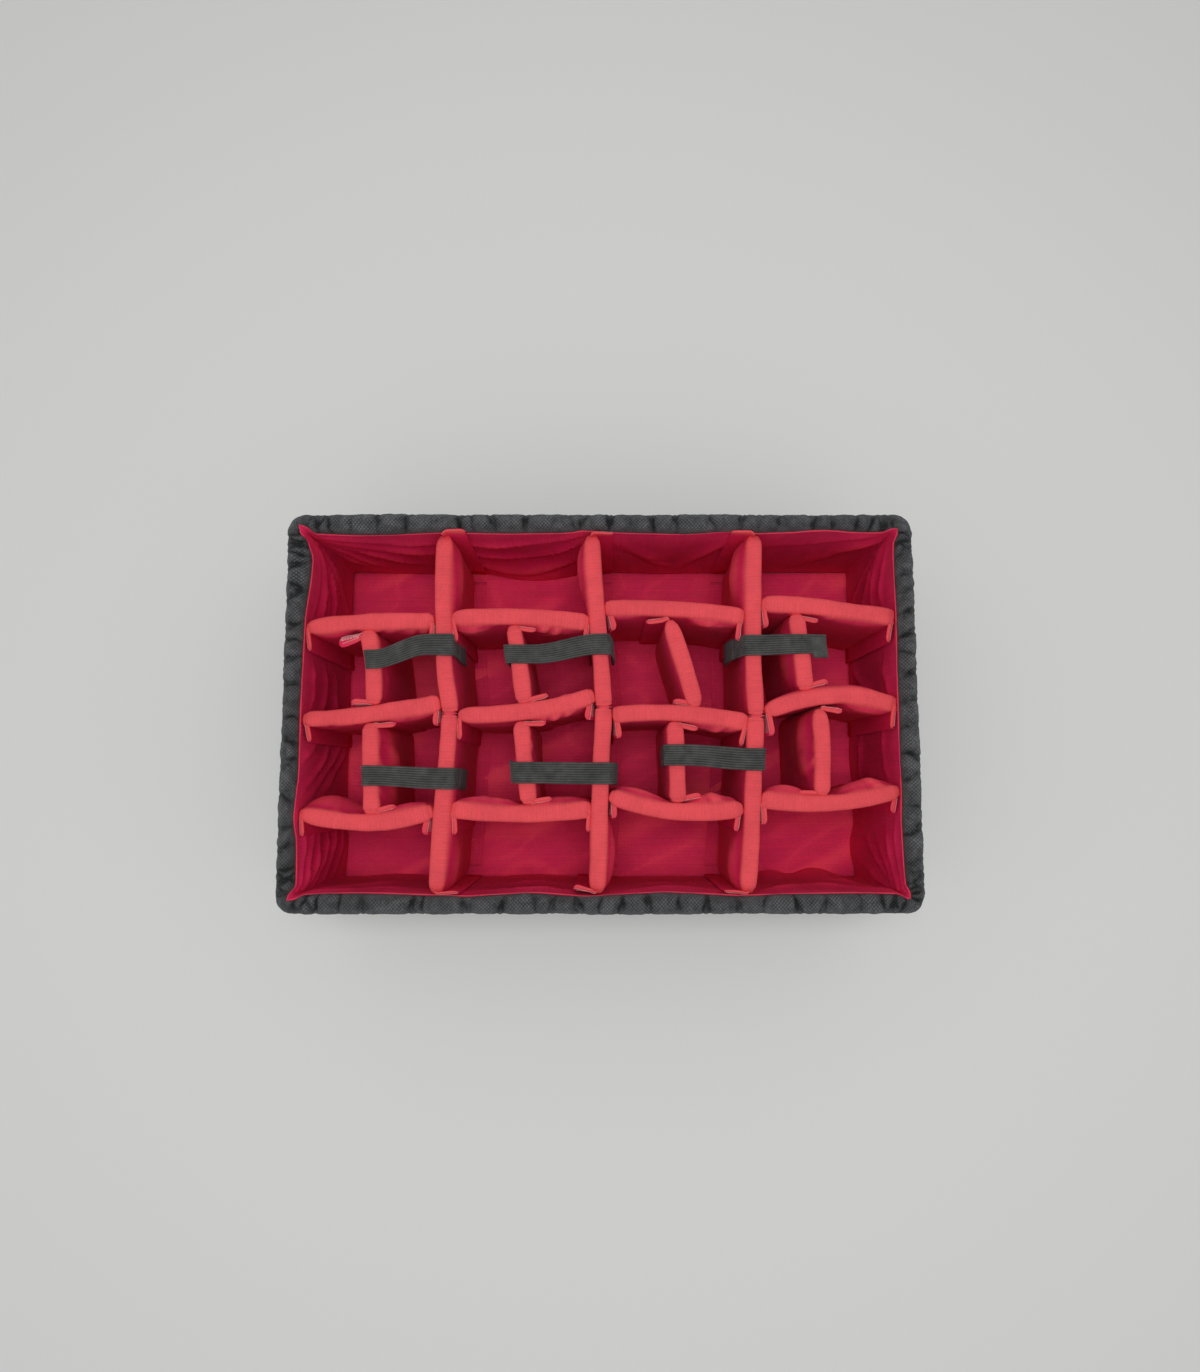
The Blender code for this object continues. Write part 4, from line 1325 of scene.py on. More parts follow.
def make_joint(context, name, low, high, seed):
    """Fabric pinched between the two pads, with a row of stitches down its middle."""
    made = finishes(context)
    centre_x, centre_y = (low.x + high.x) / 2, (low.y + high.y) / 2
    cloth = ClothMesh()
    rings = []
    for share in np.linspace(0, 1, 40):
        z = low.z + (TAB_TOP - low.z) * share
        half_x = JOINT_HALF_X + 0.0006 * math.sin(share * 150 + seed)
        if share > 0.98:
            half_x -= 0.0012
        ring = []
        for turn in np.linspace(0, math.tau, 15)[:-1] + math.tau / 28:
            y = centre_y + JOINT_HALF_Y * math.sin(turn)
            ring.append((centre_x + half_x * math.cos(turn), y, z))
        rings.append(ring)
    rings = np.array(rings)
    # Painted highlight and raised fuzz towards the joint's top
    wear = smooth_step(rings[..., 2], TAB_TOP - 0.006, TAB_TOP)
    cloth.add(rings, 0, around=True, capped=True, wear=wear)
    for side in (-1, 1):
        x = centre_x + side * 0.0076
        cloth.stitches([(x, centre_y, low.z), (x, centre_y, TAB_TOP)], 2)
    across = [(centre_x + side * 0.0065, centre_y, TAB_TOP + 0.0001) for side in (-1, 1)]
    cloth.stitches(across, 0, length=0.0016, pause=0.0012)
    obj = cloth.build(f"{name}_joint_gather", divider_finishes(made))
    finish_divider(obj, f"{name}_joint", name)


# Liner


def wall_stations(wall, step):
    """Points along one wall from corner middle to corner middle, their inward ways and runs.

    With them come the length of the wall's straight part and the arc of half a corner.
    """
    radius = CORNER_RADIUS
    starts = {
        "back": ((HALF_LENGTH - radius, HALF_WIDTH), (-1, 0), (0, -1), 2 * (HALF_LENGTH - radius)),
        "left": ((-HALF_LENGTH, HALF_WIDTH - radius), (0, -1), (1, 0), 2 * (HALF_WIDTH - radius)),
        "front": ((radius - HALF_LENGTH, -HALF_WIDTH), (1, 0), (0, 1), 2 * (HALF_LENGTH - radius)),
        "right": ((HALF_LENGTH, radius - HALF_WIDTH), (0, 1), (-1, 0), 2 * (HALF_WIDTH - radius)),
    }
    start, ahead, inward, length = (np.array(v, float) for v in starts[wall])
    arc = radius * math.pi / 4
    bends = np.linspace(0, math.pi / 4, 9)
    rows = []
    for angle in bends[:0:-1]:
        outward = -inward * math.cos(angle) - ahead * math.sin(angle)
        rows.append((start + inward * radius + outward * radius, -outward, -angle * radius))
    count = int(round(length / step))
    for place in np.linspace(0, length, count + 1):
        rows.append((start + ahead * place, inward, place))
    end = start + ahead * length
    for angle in bends[1:]:
        outward = -inward * math.cos(angle) + ahead * math.sin(angle)
        rows.append((end + inward * radius + outward * radius, -outward, length + angle * radius))
    points, ways, runs = (np.array(v, float) for v in zip(*rows))
    return points, ways, runs, float(length), float(arc)


def run_at(wall, share):
    """The run along a wall for a place given as a share of the liner's length or width."""
    half = HALF_LENGTH if wall in ("back", "front") else HALF_WIDTH
    if wall in ("back", "left"):
        return half - CORNER_RADIUS - share * 2 * half
    return share * 2 * half + half - CORNER_RADIUS


# Places along a wall are shares of the liner's length or width, from -0.5 at the wall's left or
# front end to 0.5 at its right or back end.
# How far the lining's top edge stands in from its straight line: place and metres
EDGE_WANDER = {
    "back": (
        (-0.5, -0.004), (-0.485, 0.0), (-0.46, 0.002), (-0.40, 0.004), (-0.33, 0.003),
        (-0.25, 0.0005), (-0.15, 0.002), (-0.05, 0.001), (-0.03, -0.001), (0.04, 0.001),
        (0.14, 0.0025), (0.20, -0.0005), (0.25, 0.0015), (0.36, -0.001), (0.44, 0.001),
        (0.5, -0.002),
    ),
    "left": (
        (-0.5, 0.0), (-0.42, 0.002), (-0.34, 0.001), (-0.27, -0.0015), (-0.15, 0.0005),
        (0.0, 0.0), (0.15, 0.001), (0.24, 0.002), (0.33, 0.007), (0.39, 0.0085), (0.43, 0.002),
        (0.465, -0.003), (0.5, -0.004),
    ),
    "front": (
        (-0.5, -0.002), (-0.44, 0.002), (-0.36, 0.003), (-0.28, 0.001), (-0.2, -0.0005),
        (-0.1, 0.0035), (-0.02, -0.001), (0.1, 0.004), (0.22, 0.0), (0.3, 0.002), (0.4, 0.003),
        (0.48, 0.002), (0.5, -0.002),
    ),
    "right": (
        (-0.5, -0.002), (-0.4, 0.001), (-0.28, 0.0025), (-0.2, 0.001), (-0.05, 0.0015),
        (0.1, 0.001), (0.25, 0.0), (0.4, 0.001), (0.5, -0.002),
    ),
}
# How far the lining's point reaches out over the cover at the corner where each wall begins
CORNER_POINTS = {"back": 0.0035, "left": 0.0085, "front": 0.0065, "right": 0.0035}
CORNER_REACH = 0.009


def edge_wander(wall, runs, length, arc):
    """The lining edge's distance in from its straight line, with the points at the corners."""
    table = EDGE_WANDER[wall]
    places = np.array([run_at(wall, share) for share, _ in table])
    values = np.array([value for _, value in table])
    order = np.argsort(places)
    dense = np.linspace(-arc, length + arc, 600)
    curve = np.interp(dense, places[order], values[order])
    window = np.hanning(31)
    padded = np.pad(curve, 15, mode="edge")
    curve = np.convolve(padded, window / window.sum(), mode="valid")
    wander = np.interp(runs, dense, curve)
    past = np.minimum(runs + arc, length + arc - runs) - arc
    turn = np.clip(-past / CORNER_RADIUS, 0, math.pi / 4)
    next_wall = WALL_NAMES[(WALL_NAMES.index(wall) + 1) % len(WALL_NAMES)]
    reach_out = np.where(runs < length / 2, CORNER_POINTS[wall], CORNER_POINTS[next_wall])
    slope = reach_out / (CORNER_REACH * math.sqrt(2) + reach_out)
    point = slope * np.clip(CORNER_REACH - past, 0, CORNER_REACH) / (np.cos(turn) - slope * np.sin(turn))
    return wander * smooth_step(past, -0.004, 0.006) - point


# Creases across the puffed tops: place, and slant in metres along the wall from its outside
# to its inside
TOP_CREASES = {
    "back": (
        (-0.455, 0.004), (-0.355, 0.003), (-0.31, -0.002), (-0.222, -0.005), (-0.205, 0.003),
        (-0.169, 0.006), (-0.12, 0.002), (-0.045, 0.006), (-0.03, -0.005), (0.018, -0.006),
        (0.048, -0.005), (0.085, 0.002), (0.12, 0.006), (0.18, 0.007), (0.225, -0.003),
        (0.254, -0.006), (0.286, -0.006), (0.343, -0.005), (0.37, 0.003), (0.41, -0.002),
        (0.453, 0.006),
    ),
    "left": (
        (-0.46, 0.007), (-0.417, 0.009), (-0.345, 0.011), (-0.29, 0.005), (-0.219, -0.010),
        (-0.128, 0.002), (-0.08, -0.003), (-0.019, 0.002), (0.06, 0.004), (0.13, 0.003),
        (0.174, -0.006), (0.215, 0.004), (0.285, 0.017), (0.315, -0.015), (0.365, 0.012),
        (0.42, -0.008), (0.46, 0.006),
    ),
    "front": (
        (-0.47, 0.006), (-0.40, -0.004), (-0.36, 0.002), (-0.29, -0.003), (-0.27, 0.004),
        (-0.21, 0.003), (-0.145, -0.003), (-0.10, 0.004), (-0.07, -0.003), (-0.035, 0.003),
        (0.0, 0.002), (0.03, -0.004), (0.075, 0.004), (0.12, -0.002), (0.165, 0.003),
        (0.21, 0.003), (0.25, -0.004), (0.3, 0.005), (0.345, -0.004), (0.40, 0.003),
        (0.45, -0.006),
    ),
    "right": (
        (-0.47, 0.008), (-0.43, 0.010), (-0.37, 0.009), (-0.30, 0.006), (-0.24, -0.004),
        (-0.17, 0.005), (-0.11, -0.006), (-0.04, 0.006), (0.03, 0.007), (0.085, 0.008),
        (0.14, -0.006), (0.19, 0.008), (0.25, 0.009), (0.30, 0.007), (0.345, 0.009),
        (0.40, 0.010), (0.45, 0.007),
    ),
}


# Mesh rows up a cover's outer face, as shares of its height
COVER_ROWS = (0, 0.015, 0.05, 0.11, 0.18, 0.26, 0.34, 0.42, 0.5)
COVER_ROWS += (0.58, 0.65, 0.71, 0.77, 0.82, 0.865, 0.9, 0.935, 0.965)
# Gathers at both ends of a wall: run from its corner and slant
CORNER_CREASES = ((0.003, 0.010), (0.010, -0.008), (0.017, 0.012), (0.025, -0.006))
# How far a crease's branch has spread at the wall's inside
BRANCH_SPREAD = 0.007
# How thick a cover's mesh is, and how far its edge may stand outwards of its straight line
COVER_SKIN = 0.0009
LEAST_WANDER = -0.0004


def cover_profile():
    """The cover's outer profile: depth, height, and how far each point faces in and up."""
    centre = RIM_Z - ROLL_RADIUS
    rows = []
    drop = centre - COVER_LOW
    for share in COVER_ROWS:
        rows.append((0.0, COVER_LOW + drop * share, -1.0, 0.0))
    for turn in np.linspace(0, math.pi / 2, 9):
        depth = ROLL_RADIUS - ROLL_RADIUS * math.cos(turn)
        rows.append((depth, centre + ROLL_RADIUS * math.sin(turn), -math.cos(turn), math.sin(turn)))
    for turn in np.linspace(math.pi / 2, 0, 9):
        depth = WALL - ROLL_RADIUS + ROLL_RADIUS * math.cos(turn)
        rows.append((depth, centre + ROLL_RADIUS * math.sin(turn), math.cos(turn), math.sin(turn)))
    for fall in (0.0014, 0.0026, LIP_DEPTH):
        rows.append((WALL, centre - fall, 1.0, 0.0))
    return np.array(rows)


def crease_lines(wall, length):
    """Run, slant and strength of every crease over one wall, with the gathers at its corners."""
    lines = []
    for number, (share, slant) in enumerate(TOP_CREASES[wall]):
        middle = run_at(wall, share)
        strength = 0.75 + 0.25 * math.sin(number * 2.3)
        lines.append((middle, slant, strength))
        if number % 3 != 1:
            way = 1 if number % 2 else -1
            lines.append((middle + way * BRANCH_SPREAD / 2, slant + way * BRANCH_SPREAD, strength * 0.8))
    for place, slant in CORNER_CREASES:
        lines.append((place, slant, 0.8))
        lines.append((length - place, -slant, 0.8))
    return lines


def cover_relief(wall, points, runs, profile, length, sizes):
    """Puffs and creases of one wall's cover: their height at every point, and a tone that paints highlight
    on the puffs and shade in the creases.
    """
    depth, height = profile[:, 0], profile[:, 1]
    over = np.clip(depth / WALL, 0, 1)
    below = np.maximum(RIM_Z - ROLL_RADIUS - height, 0)
    sway = 0.0030 * smooth_noise(points, 0.009, 11) + 0.0012 * smooth_noise(points, 0.004, 12)
    nearest = np.full(points.shape[:2], 1.0)
    deepest = np.zeros(points.shape[:2])
    patchy = 0.35 + 0.65 * smooth_step(smooth_noise(points, 0.011, 13), -0.4, 0.3)
    for middle, slant, strength in crease_lines(wall, length):
        line = middle - slant * (over[None, :] - 0.5) + sway + slant * 0.9 * below[None, :] / 0.05
        gap = np.abs(runs[:, None] - line)
        nearest = np.minimum(nearest, gap)
        deepest = np.maximum(deepest, strength * patchy * np.exp(-((gap / 0.0020) ** 2)))
    puffs = 1 - np.exp(-nearest / 0.0045)
    fade = 0.15 + 0.85 * np.exp(-below / 0.04)[None, :]
    wrinkles = np.abs(smooth_noise(points, (0.012, 0.012, 0.018), 21)) - 0.3
    small = np.abs(smooth_noise(points, 0.0065, 22)) - 0.3
    tiny = np.abs(smooth_noise(points, 0.0042, 24)) - 0.3
    broad = smooth_noise(points, (0.05, 0.05, 0.08), 23) * 0.6
    hidden = (height < RIM_Z - ROLL_RADIUS + 0.002) & (depth > WALL / 2)
    lip = (1 - 0.75 * hidden) * (0.25 + 0.75 * smooth_step(over, 0.02, 0.4))
    lip = lip * (1 - 0.7 * smooth_step(over, 0.62, 0.95))
    rise = (puffs - 0.3) * fade + (wrinkles + small * 0.9 + tiny * 0.6) * (0.3 + 0.7 * fade)
    rise = (sizes.puff * rise - sizes.crease * deepest * fade) * lip[None, :] + sizes.puff * broad * 0.6
    # Painted highlight on the puffs and painted shade in the creases
    tone = np.clip(rise / sizes.puff, -1, 1) * 0.7 + 0.05 - deepest * fade * 1.5
    return np.maximum(rise, LEAST_RISE), np.clip(tone, -1.25, 1)


def make_cover(context, wall):
    """One wall's nylon cover: outside skin with puffs and creases, inner skin against the foam."""
    sizes = context.scene.divider_liner
    made = finishes(context)
    base, inward, runs, length, arc = wall_stations(wall, 0.0013)
    profile = cover_profile()
    depth, height, face_in, face_up = profile.T
    edge = edge_wander(wall, runs, length, arc)
    wander = np.maximum(edge, LEAST_WANDER)
    lean = smooth_step(depth, WALL * 0.25, WALL)
    skin = np.empty((len(runs), len(profile), 3))
    shifted = depth[None, :] + wander[:, None] * lean[None, :]
    skin[..., :2] = base[:, None, :] + inward[:, None, :] * shifted[..., None]
    skin[..., 2] = height
    relief, tone = cover_relief(wall, skin, runs, profile, length, sizes)
    under_lining = smooth_step(depth[None, :] - WALL - edge[:, None], -0.005, -0.001)
    under_lining = under_lining * smooth_step(-edge, 0.0006, 0.002)[:, None]
    relief = relief * (1 - under_lining) - 0.0007 * under_lining
    lip_dip = -0.0012 * smooth_step(depth, WALL * 0.9, WALL)[None, :]
    skin[..., :2] += inward[:, None, :] * (relief * face_in[None, :])[..., None]
    skin[..., 2] += relief * face_up[None, :] + lip_dip * face_up[None, :]
    inner_depth = np.where(depth < WALL / 2, depth + COVER_SKIN, depth - COVER_SKIN)
    inner = np.empty_like(skin)
    inner_shift = inner_depth[None, :] + wander[:, None] * lean[None, :] * 0.9
    inner[..., :2] = base[:, None, :] + inward[:, None, :] * inner_shift[..., None]
    inner[..., 2] = np.minimum(height - COVER_SKIN * face_up, skin[..., 2] - 0.0003 * face_up)
    rings = np.concatenate((skin, inner[:, ::-1]), axis=1)
    # The outer skin carries the painted tones; the inner skin none
    painted_tones = np.concatenate((tone, np.zeros_like(tone)), axis=1)
    cloth = ClothMesh()
    cloth.add(rings, 0, around=True, capped=True, relief=painted_tones)
    obj = cloth.build(f"{wall}_cover_cloth", (made.nylon,))
    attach(obj, "liner")
    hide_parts(f"{wall}_nylon_cover")


# Folds of the linings. Each stroke runs from one point on the wall to another, both as a place
# along it and a share of its height, with its sag, its half width in metres and its height as
# a share of the fold height. The steep side of a fold is its lower one.
FOLD_STROKES = {
    "back": (
        ((-0.49, 0.98), (-0.25, 0.78), 0.05, 0.016, 0.7),
        ((-0.49, 0.96), (-0.26, 0.52), 0.06, 0.015, 0.9),
        ((-0.48, 0.92), (-0.31, 0.22), 0.05, 0.013, 0.9),
        ((-0.48, 0.85), (-0.38, 0.12), 0.04, 0.010, 0.8),
        ((-0.47, 0.70), (-0.42, 0.08), 0.03, 0.008, 0.6),
        ((-0.25, 0.80), (-0.02, 0.97), 0.14, 0.014, 0.8),
        ((-0.24, 0.55), (-0.02, 0.80), 0.20, 0.016, 0.9),
        ((-0.24, 0.30), (-0.03, 0.42), 0.18, 0.016, 0.9),
        ((0.01, 0.92), (0.12, 0.30), 0.06, 0.016, 0.6),
        ((0.02, 0.70), (0.16, 0.12), 0.04, 0.014, 0.5),
        ((0.23, 0.92), (0.14, 0.10), -0.04, 0.013, 0.7),
        ((0.49, 0.93), (0.37, 0.22), -0.06, 0.015, 0.8),
        ((0.47, 0.98), (0.28, 0.72), 0.05, 0.018, 0.4),
    ),
    "left": (
        ((0.49, 0.97), (0.23, 0.88), 0.10, 0.008, 0.4),
        ((0.49, 0.97), (0.22, 0.74), 0.15, 0.012, 0.9),
        ((0.49, 0.96), (0.22, 0.60), 0.18, 0.006, 0.5),
        ((0.49, 0.95), (0.23, 0.46), 0.18, 0.010, 0.9),
        ((0.485, 0.93), (0.25, 0.24), 0.16, 0.007, 0.5),
        ((0.48, 0.90), (0.29, 0.07), 0.14, 0.010, 0.8),
        ((0.13, 0.80), (0.00, 0.84), 0.04, 0.009, 0.6),
        ((0.13, 0.58), (-0.01, 0.60), 0.04, 0.009, 0.7),
        ((0.12, 0.36), (-0.01, 0.34), 0.03, 0.009, 0.6),
        ((-0.03, 0.28), (-0.21, 0.92), 0.04, 0.009, 0.8),
        ((-0.03, 0.10), (-0.21, 0.72), 0.04, 0.009, 0.8),
        ((-0.07, 0.05), (-0.20, 0.48), 0.03, 0.009, 0.7),
        ((-0.03, 0.55), (-0.13, 0.95), 0.03, 0.009, 0.6),
        ((-0.27, 0.88), (-0.49, 0.97), 0.03, 0.009, 0.7),
        ((-0.27, 0.72), (-0.49, 0.93), 0.06, 0.009, 0.9),
        ((-0.27, 0.56), (-0.48, 0.86), 0.08, 0.009, 0.9),
        ((-0.27, 0.40), (-0.48, 0.74), 0.09, 0.009, 0.8),
        ((-0.27, 0.24), (-0.47, 0.55), 0.08, 0.009, 0.8),
        ((-0.28, 0.10), (-0.46, 0.30), 0.05, 0.008, 0.6),
    ),
    "front": (
        ((-0.49, 0.95), (-0.30, 0.70), 0.05, 0.015, 0.6),
        ((-0.48, 0.80), (-0.33, 0.35), 0.04, 0.014, 0.6),
        ((-0.22, 0.80), (-0.02, 0.88), 0.08, 0.014, 0.6),
        ((-0.21, 0.45), (-0.03, 0.50), 0.08, 0.014, 0.6),
        ((0.02, 0.90), (0.22, 0.78), 0.10, 0.014, 0.5),
        ((0.04, 0.55), (0.22, 0.48), 0.08, 0.014, 0.5),
        ((0.26, 0.80), (0.40, 0.55), 0.06, 0.016, 0.7),
        ((0.49, 0.95), (0.33, 0.50), 0.05, 0.014, 0.8),
        ((0.48, 0.80), (0.40, 0.25), 0.05, 0.012, 0.7),
    ),
    "right": (
        ((-0.49, 0.97), (-0.27, 0.90), 0.03, 0.007, 0.4),
        ((-0.49, 0.96), (-0.30, 0.72), 0.04, 0.007, 0.7),
        ((-0.485, 0.94), (-0.32, 0.52), 0.04, 0.012, 0.5),
        ((-0.48, 0.92), (-0.30, 0.22), 0.05, 0.008, 0.6),
        ((-0.48, 0.88), (-0.40, 0.08), 0.04, 0.007, 0.4),
        ((-0.02, 0.30), (-0.20, 0.18), 0.04, 0.010, 0.5),
        ((-0.02, 0.72), (-0.20, 0.82), 0.06, 0.012, 0.5),
        ((0.16, 0.10), (0.03, 0.55), 0.03, 0.009, 0.8),
        ((0.13, 0.75), (0.02, 0.93), 0.04, 0.010, 0.6),
        ((0.49, 0.96), (0.24, 0.80), 0.10, 0.011, 0.6),
        ((0.49, 0.95), (0.24, 0.55), 0.14, 0.010, 0.8),
        ((0.48, 0.93), (0.27, 0.28), 0.12, 0.010, 0.8),
        ((0.48, 0.88), (0.34, 0.08), 0.08, 0.009, 0.6),
    ),
}

# Where a lining's foot bulges over the floor: first and last place, and how far in metres
FOOT_BULGES = {
    "back": ((-0.235, -0.01, 0.0115), (-0.45, -0.26, 0.002), (0.03, 0.22, 0.002)),
    "left": ((-0.45, -0.30, 0.003),),
    "front": ((0.27, 0.36, 0.009), (0.34, 0.45, 0.012), (-0.45, -0.28, 0.004), (-0.2, -0.03, 0.003)),
    "right": ((-0.2, 0.0, 0.003), (-0.44, -0.30, 0.006)),
}
FOOT_HEIGHT = 0.055
STEEP_SIDE = 0.42
FOLD_SWING = 0.0035


def stroke_height(wall, runs, levels, stroke, seed):
    """The height of one fold over a wall's grid: a ridge with one steep side along its course."""
    start, end, sag, width, strength = stroke
    width = width * (1 + 0.25 * math.sin(seed * 1.9))
    share = np.linspace(0, 1, 19)
    tall = LINING_HIGH - PAD_LOW
    first, last = run_at(wall, start[0]), run_at(wall, end[0])
    course_run = first + (last - first) * share
    course_z = (start[1] + (end[1] - start[1]) * share - 4 * sag * share * (1 - share)) * tall
    swing = np.sin(share * 7 + seed * 2.1) * np.sin(math.pi * share)
    course_z = course_z + FOLD_SWING * swing
    gap_run = runs[:, None, None] - course_run
    gap_z = (levels - PAD_LOW)[None, :, None] - course_z
    gap = np.hypot(gap_run, gap_z)
    nearest = gap.argmin(axis=2)
    distance = np.take_along_axis(gap, nearest[..., None], axis=2)[..., 0]
    slope = np.gradient(course_z) / np.gradient(course_run)
    above = np.take_along_axis(gap_z, nearest[..., None], axis=2)[..., 0]
    above = above - slope[nearest] * np.take_along_axis(gap_run, nearest[..., None], axis=2)[..., 0]
    steep = above < 0
    spread = np.where(steep, width * STEEP_SIDE, width)
    taper = np.sin(math.pi * np.clip(share[nearest], 0.03, 0.97)) ** 0.6
    taper = taper * (1 + 0.3 * np.sin(share[nearest] * 9 + seed))
    ridge = np.exp(-((distance / spread) ** 2))
    valley = 0.35 * np.exp(-(((distance - spread * 1.7) / (spread * 0.7)) ** 2)) * steep
    return strength * taper * (ridge - valley)


def foot_bulge(wall, runs, heights):
    """How far the foot of a lining comes forward over the floor."""
    total = np.zeros((len(runs), len(heights)))
    for start, end, reach in FOOT_BULGES[wall]:
        ends = sorted((run_at(wall, start), run_at(wall, end)))
        share = np.clip((runs - ends[0]) / (ends[1] - ends[0]), 0, 1)
        hump = np.sin(math.pi * share) ** 1.3
        total += reach * hump[:, None] * np.exp(-((heights / FOOT_HEIGHT) ** 2))[None, :]
    return total


def held_places(wall):
    """Runs along a wall where a divider's tip and its tab press the lining flat."""
    end = -1 if wall in ("back", "right") else 0
    if wall in ("back", "front"):
        nodes, axis, whole = [f"{name}_{wall}_pad" for name in LONG_NAMES], 0, 2 * HALF_LENGTH
    else:
        column = 1 if wall == "left" else 4
        nodes, axis, whole = [f"{row}_cross_{column}" for row in ROWS], 1, 2 * HALF_WIDTH
    return [run_at(wall, centre_line(node)[end][axis] / whole) for node in nodes]


# Mesh rows up a lining, as shares of its height
LINING_ROWS = (np.linspace(0, 0.85, 46), np.linspace(0.865, 0.97, 9), np.linspace(0.976, 1, 8))
# The share of its height where a lining starts to roll outwards at a corner, and how far it
# stays clear of the cover there and at the corner's point
ROLL_START = 0.9
EDGE_CLEAR = 0.0014
TIP_CLEAR = 0.0024


def way_over_roll(shares, levels, wander):
    """How a lining passes its top edge: how far over the roll, how high, and its bend."""
    beyond = np.maximum(-wander, 0)[:, None]
    turn = np.arccos(1 - np.minimum(beyond / ROLL_RADIUS, 1))
    share = np.clip((shares - ROLL_START) / (1 - ROLL_START), 0, 1)[None, :]
    tall = (1 - ROLL_START) * (levels[-1] - levels[0])
    way = share * (tall + ROLL_RADIUS * turn + np.maximum(beyond - ROLL_RADIUS, 0)) - tall
    bent = np.minimum(np.maximum(way / ROLL_RADIUS, 0), turn)
    over = ROLL_RADIUS * (1 - np.cos(bent)) + np.maximum(way - ROLL_RADIUS * turn, 0)
    height = np.where(share > 0, levels[-1] + np.minimum(way, 0), levels[None, :])
    return over, height + ROLL_RADIUS * np.sin(bent), bent


def make_lining(context, wall):
    """One wall's red lining: a draped sheet with its folds and the bright bead at its top."""
    sizes = context.scene.divider_liner
    made = finishes(context)
    base, inward, runs, length, arc = wall_stations(wall, 0.003)
    shares = np.concatenate(LINING_ROWS)
    levels = PAD_LOW + (LINING_HIGH + 0.0012 - PAD_LOW) * shares
    wander = edge_wander(wall, runs, length, arc)
    flat = np.empty((len(runs), len(levels), 3))
    flat[..., :2] = (base + inward * WALL)[:, None, :]
    flat[..., 2] = levels
    ridges, dips = np.zeros(flat.shape[:2]), np.zeros(flat.shape[:2])
    for number, stroke in enumerate(FOLD_STROKES[wall]):
        height = stroke_height(wall, runs, levels, stroke, number)
        ridges, dips = np.maximum(ridges, height), np.minimum(dips, height)
    folds = ridges + dips
    slow = smooth_noise(flat, (0.045, 0.045, 0.06), 31)
    pleats = np.abs(smooth_noise(flat, (0.016, 0.016, 0.09), 32)) - 0.3
    free = np.ones(len(runs))
    for held in held_places(wall):
        free *= 1 - np.exp(-(((runs - held) / 0.013) ** 2))
    free *= smooth_step(runs, -arc, 0.010) * smooth_step(length + arc - runs, 0, 0.026)
    by_edge = smooth_step(shares, 1.0, 0.93) * smooth_step(shares, 0.0, 0.03)
    rise = sizes.fold * (folds + 0.25 * slow + 0.16 * pleats) * by_edge[None, :]
    bulge = foot_bulge(wall, runs, levels - PAD_LOW)
    rise = np.maximum((rise + bulge) * (0.08 + 0.92 * free)[:, None], LEAST_RISE)
    follow = shares[None, :] ** 1.6 * np.maximum(wander, 0)[:, None]
    over, height, bent = way_over_roll(shares, levels, wander)
    sheet = flat.copy()
    sheet[..., :2] = base[:, None, :] + inward[:, None, :] * (WALL + rise + follow - over)[..., None]
    clear = EDGE_CLEAR * smooth_step(over, 0, 0.002)
    sheet[..., 2] = height + clear + TIP_CLEAR * smooth_step(over, 0.001, 0.006)
    back_skin = sheet.copy()
    thick = LINING_THICKNESS * 0.8
    back_skin[..., :2] -= inward[:, None, :] * (thick * np.cos(bent))[..., None]
    back_skin[..., 2] -= thick * np.sin(bent)
    rings = np.concatenate((sheet, back_skin[:, ::-1]), axis=1)
    # Painted shade in the folds' valleys and painted highlight on their ridges, and painted light on the
    # lining's upper part
    tone = np.clip((rise - bulge * 0.6) / sizes.fold * 1.1 - 0.2, -1, 1)
    wear = smooth_step(shares, 0.6, 1.0) * 0.12
    cloth = ClothMesh()
    painted_tones = np.concatenate((tone, tone[:, ::-1]), axis=1)
    cloth.add(rings, 0, around=True, capped=True, relief=painted_tones, wear=np.tile(wear, 2))
    bead = edge_bead(sheet[:, -1], inward, sizes.piping)
    # Painted highlight along the bead, over its red fabric colour
    cloth.add(bead, 1, around=True, capped=True, wear=0.55)
    obj = cloth.build(f"{wall}_lining_cloth", (made.lining, made.sleeve))
    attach(obj, "liner")
    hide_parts(f"{wall}_wall_lining")


def edge_bead(course, inward, radius):
    """A thin rolled edge along the lining's top."""
    swell = radius * (1 + 0.25 * smooth_noise(course, 0.012, 41))
    centre = course + np.column_stack((inward * 0.0003, np.full(len(course), -0.0003)))
    rings = []
    for turn in np.linspace(0, math.tau, 11)[:-1] + math.tau / 20:
        sideways = inward * (np.sin(turn) * swell)[:, None]
        rings.append(centre + np.column_stack((sideways, np.cos(turn) * swell)))
    return np.stack(rings, axis=1)


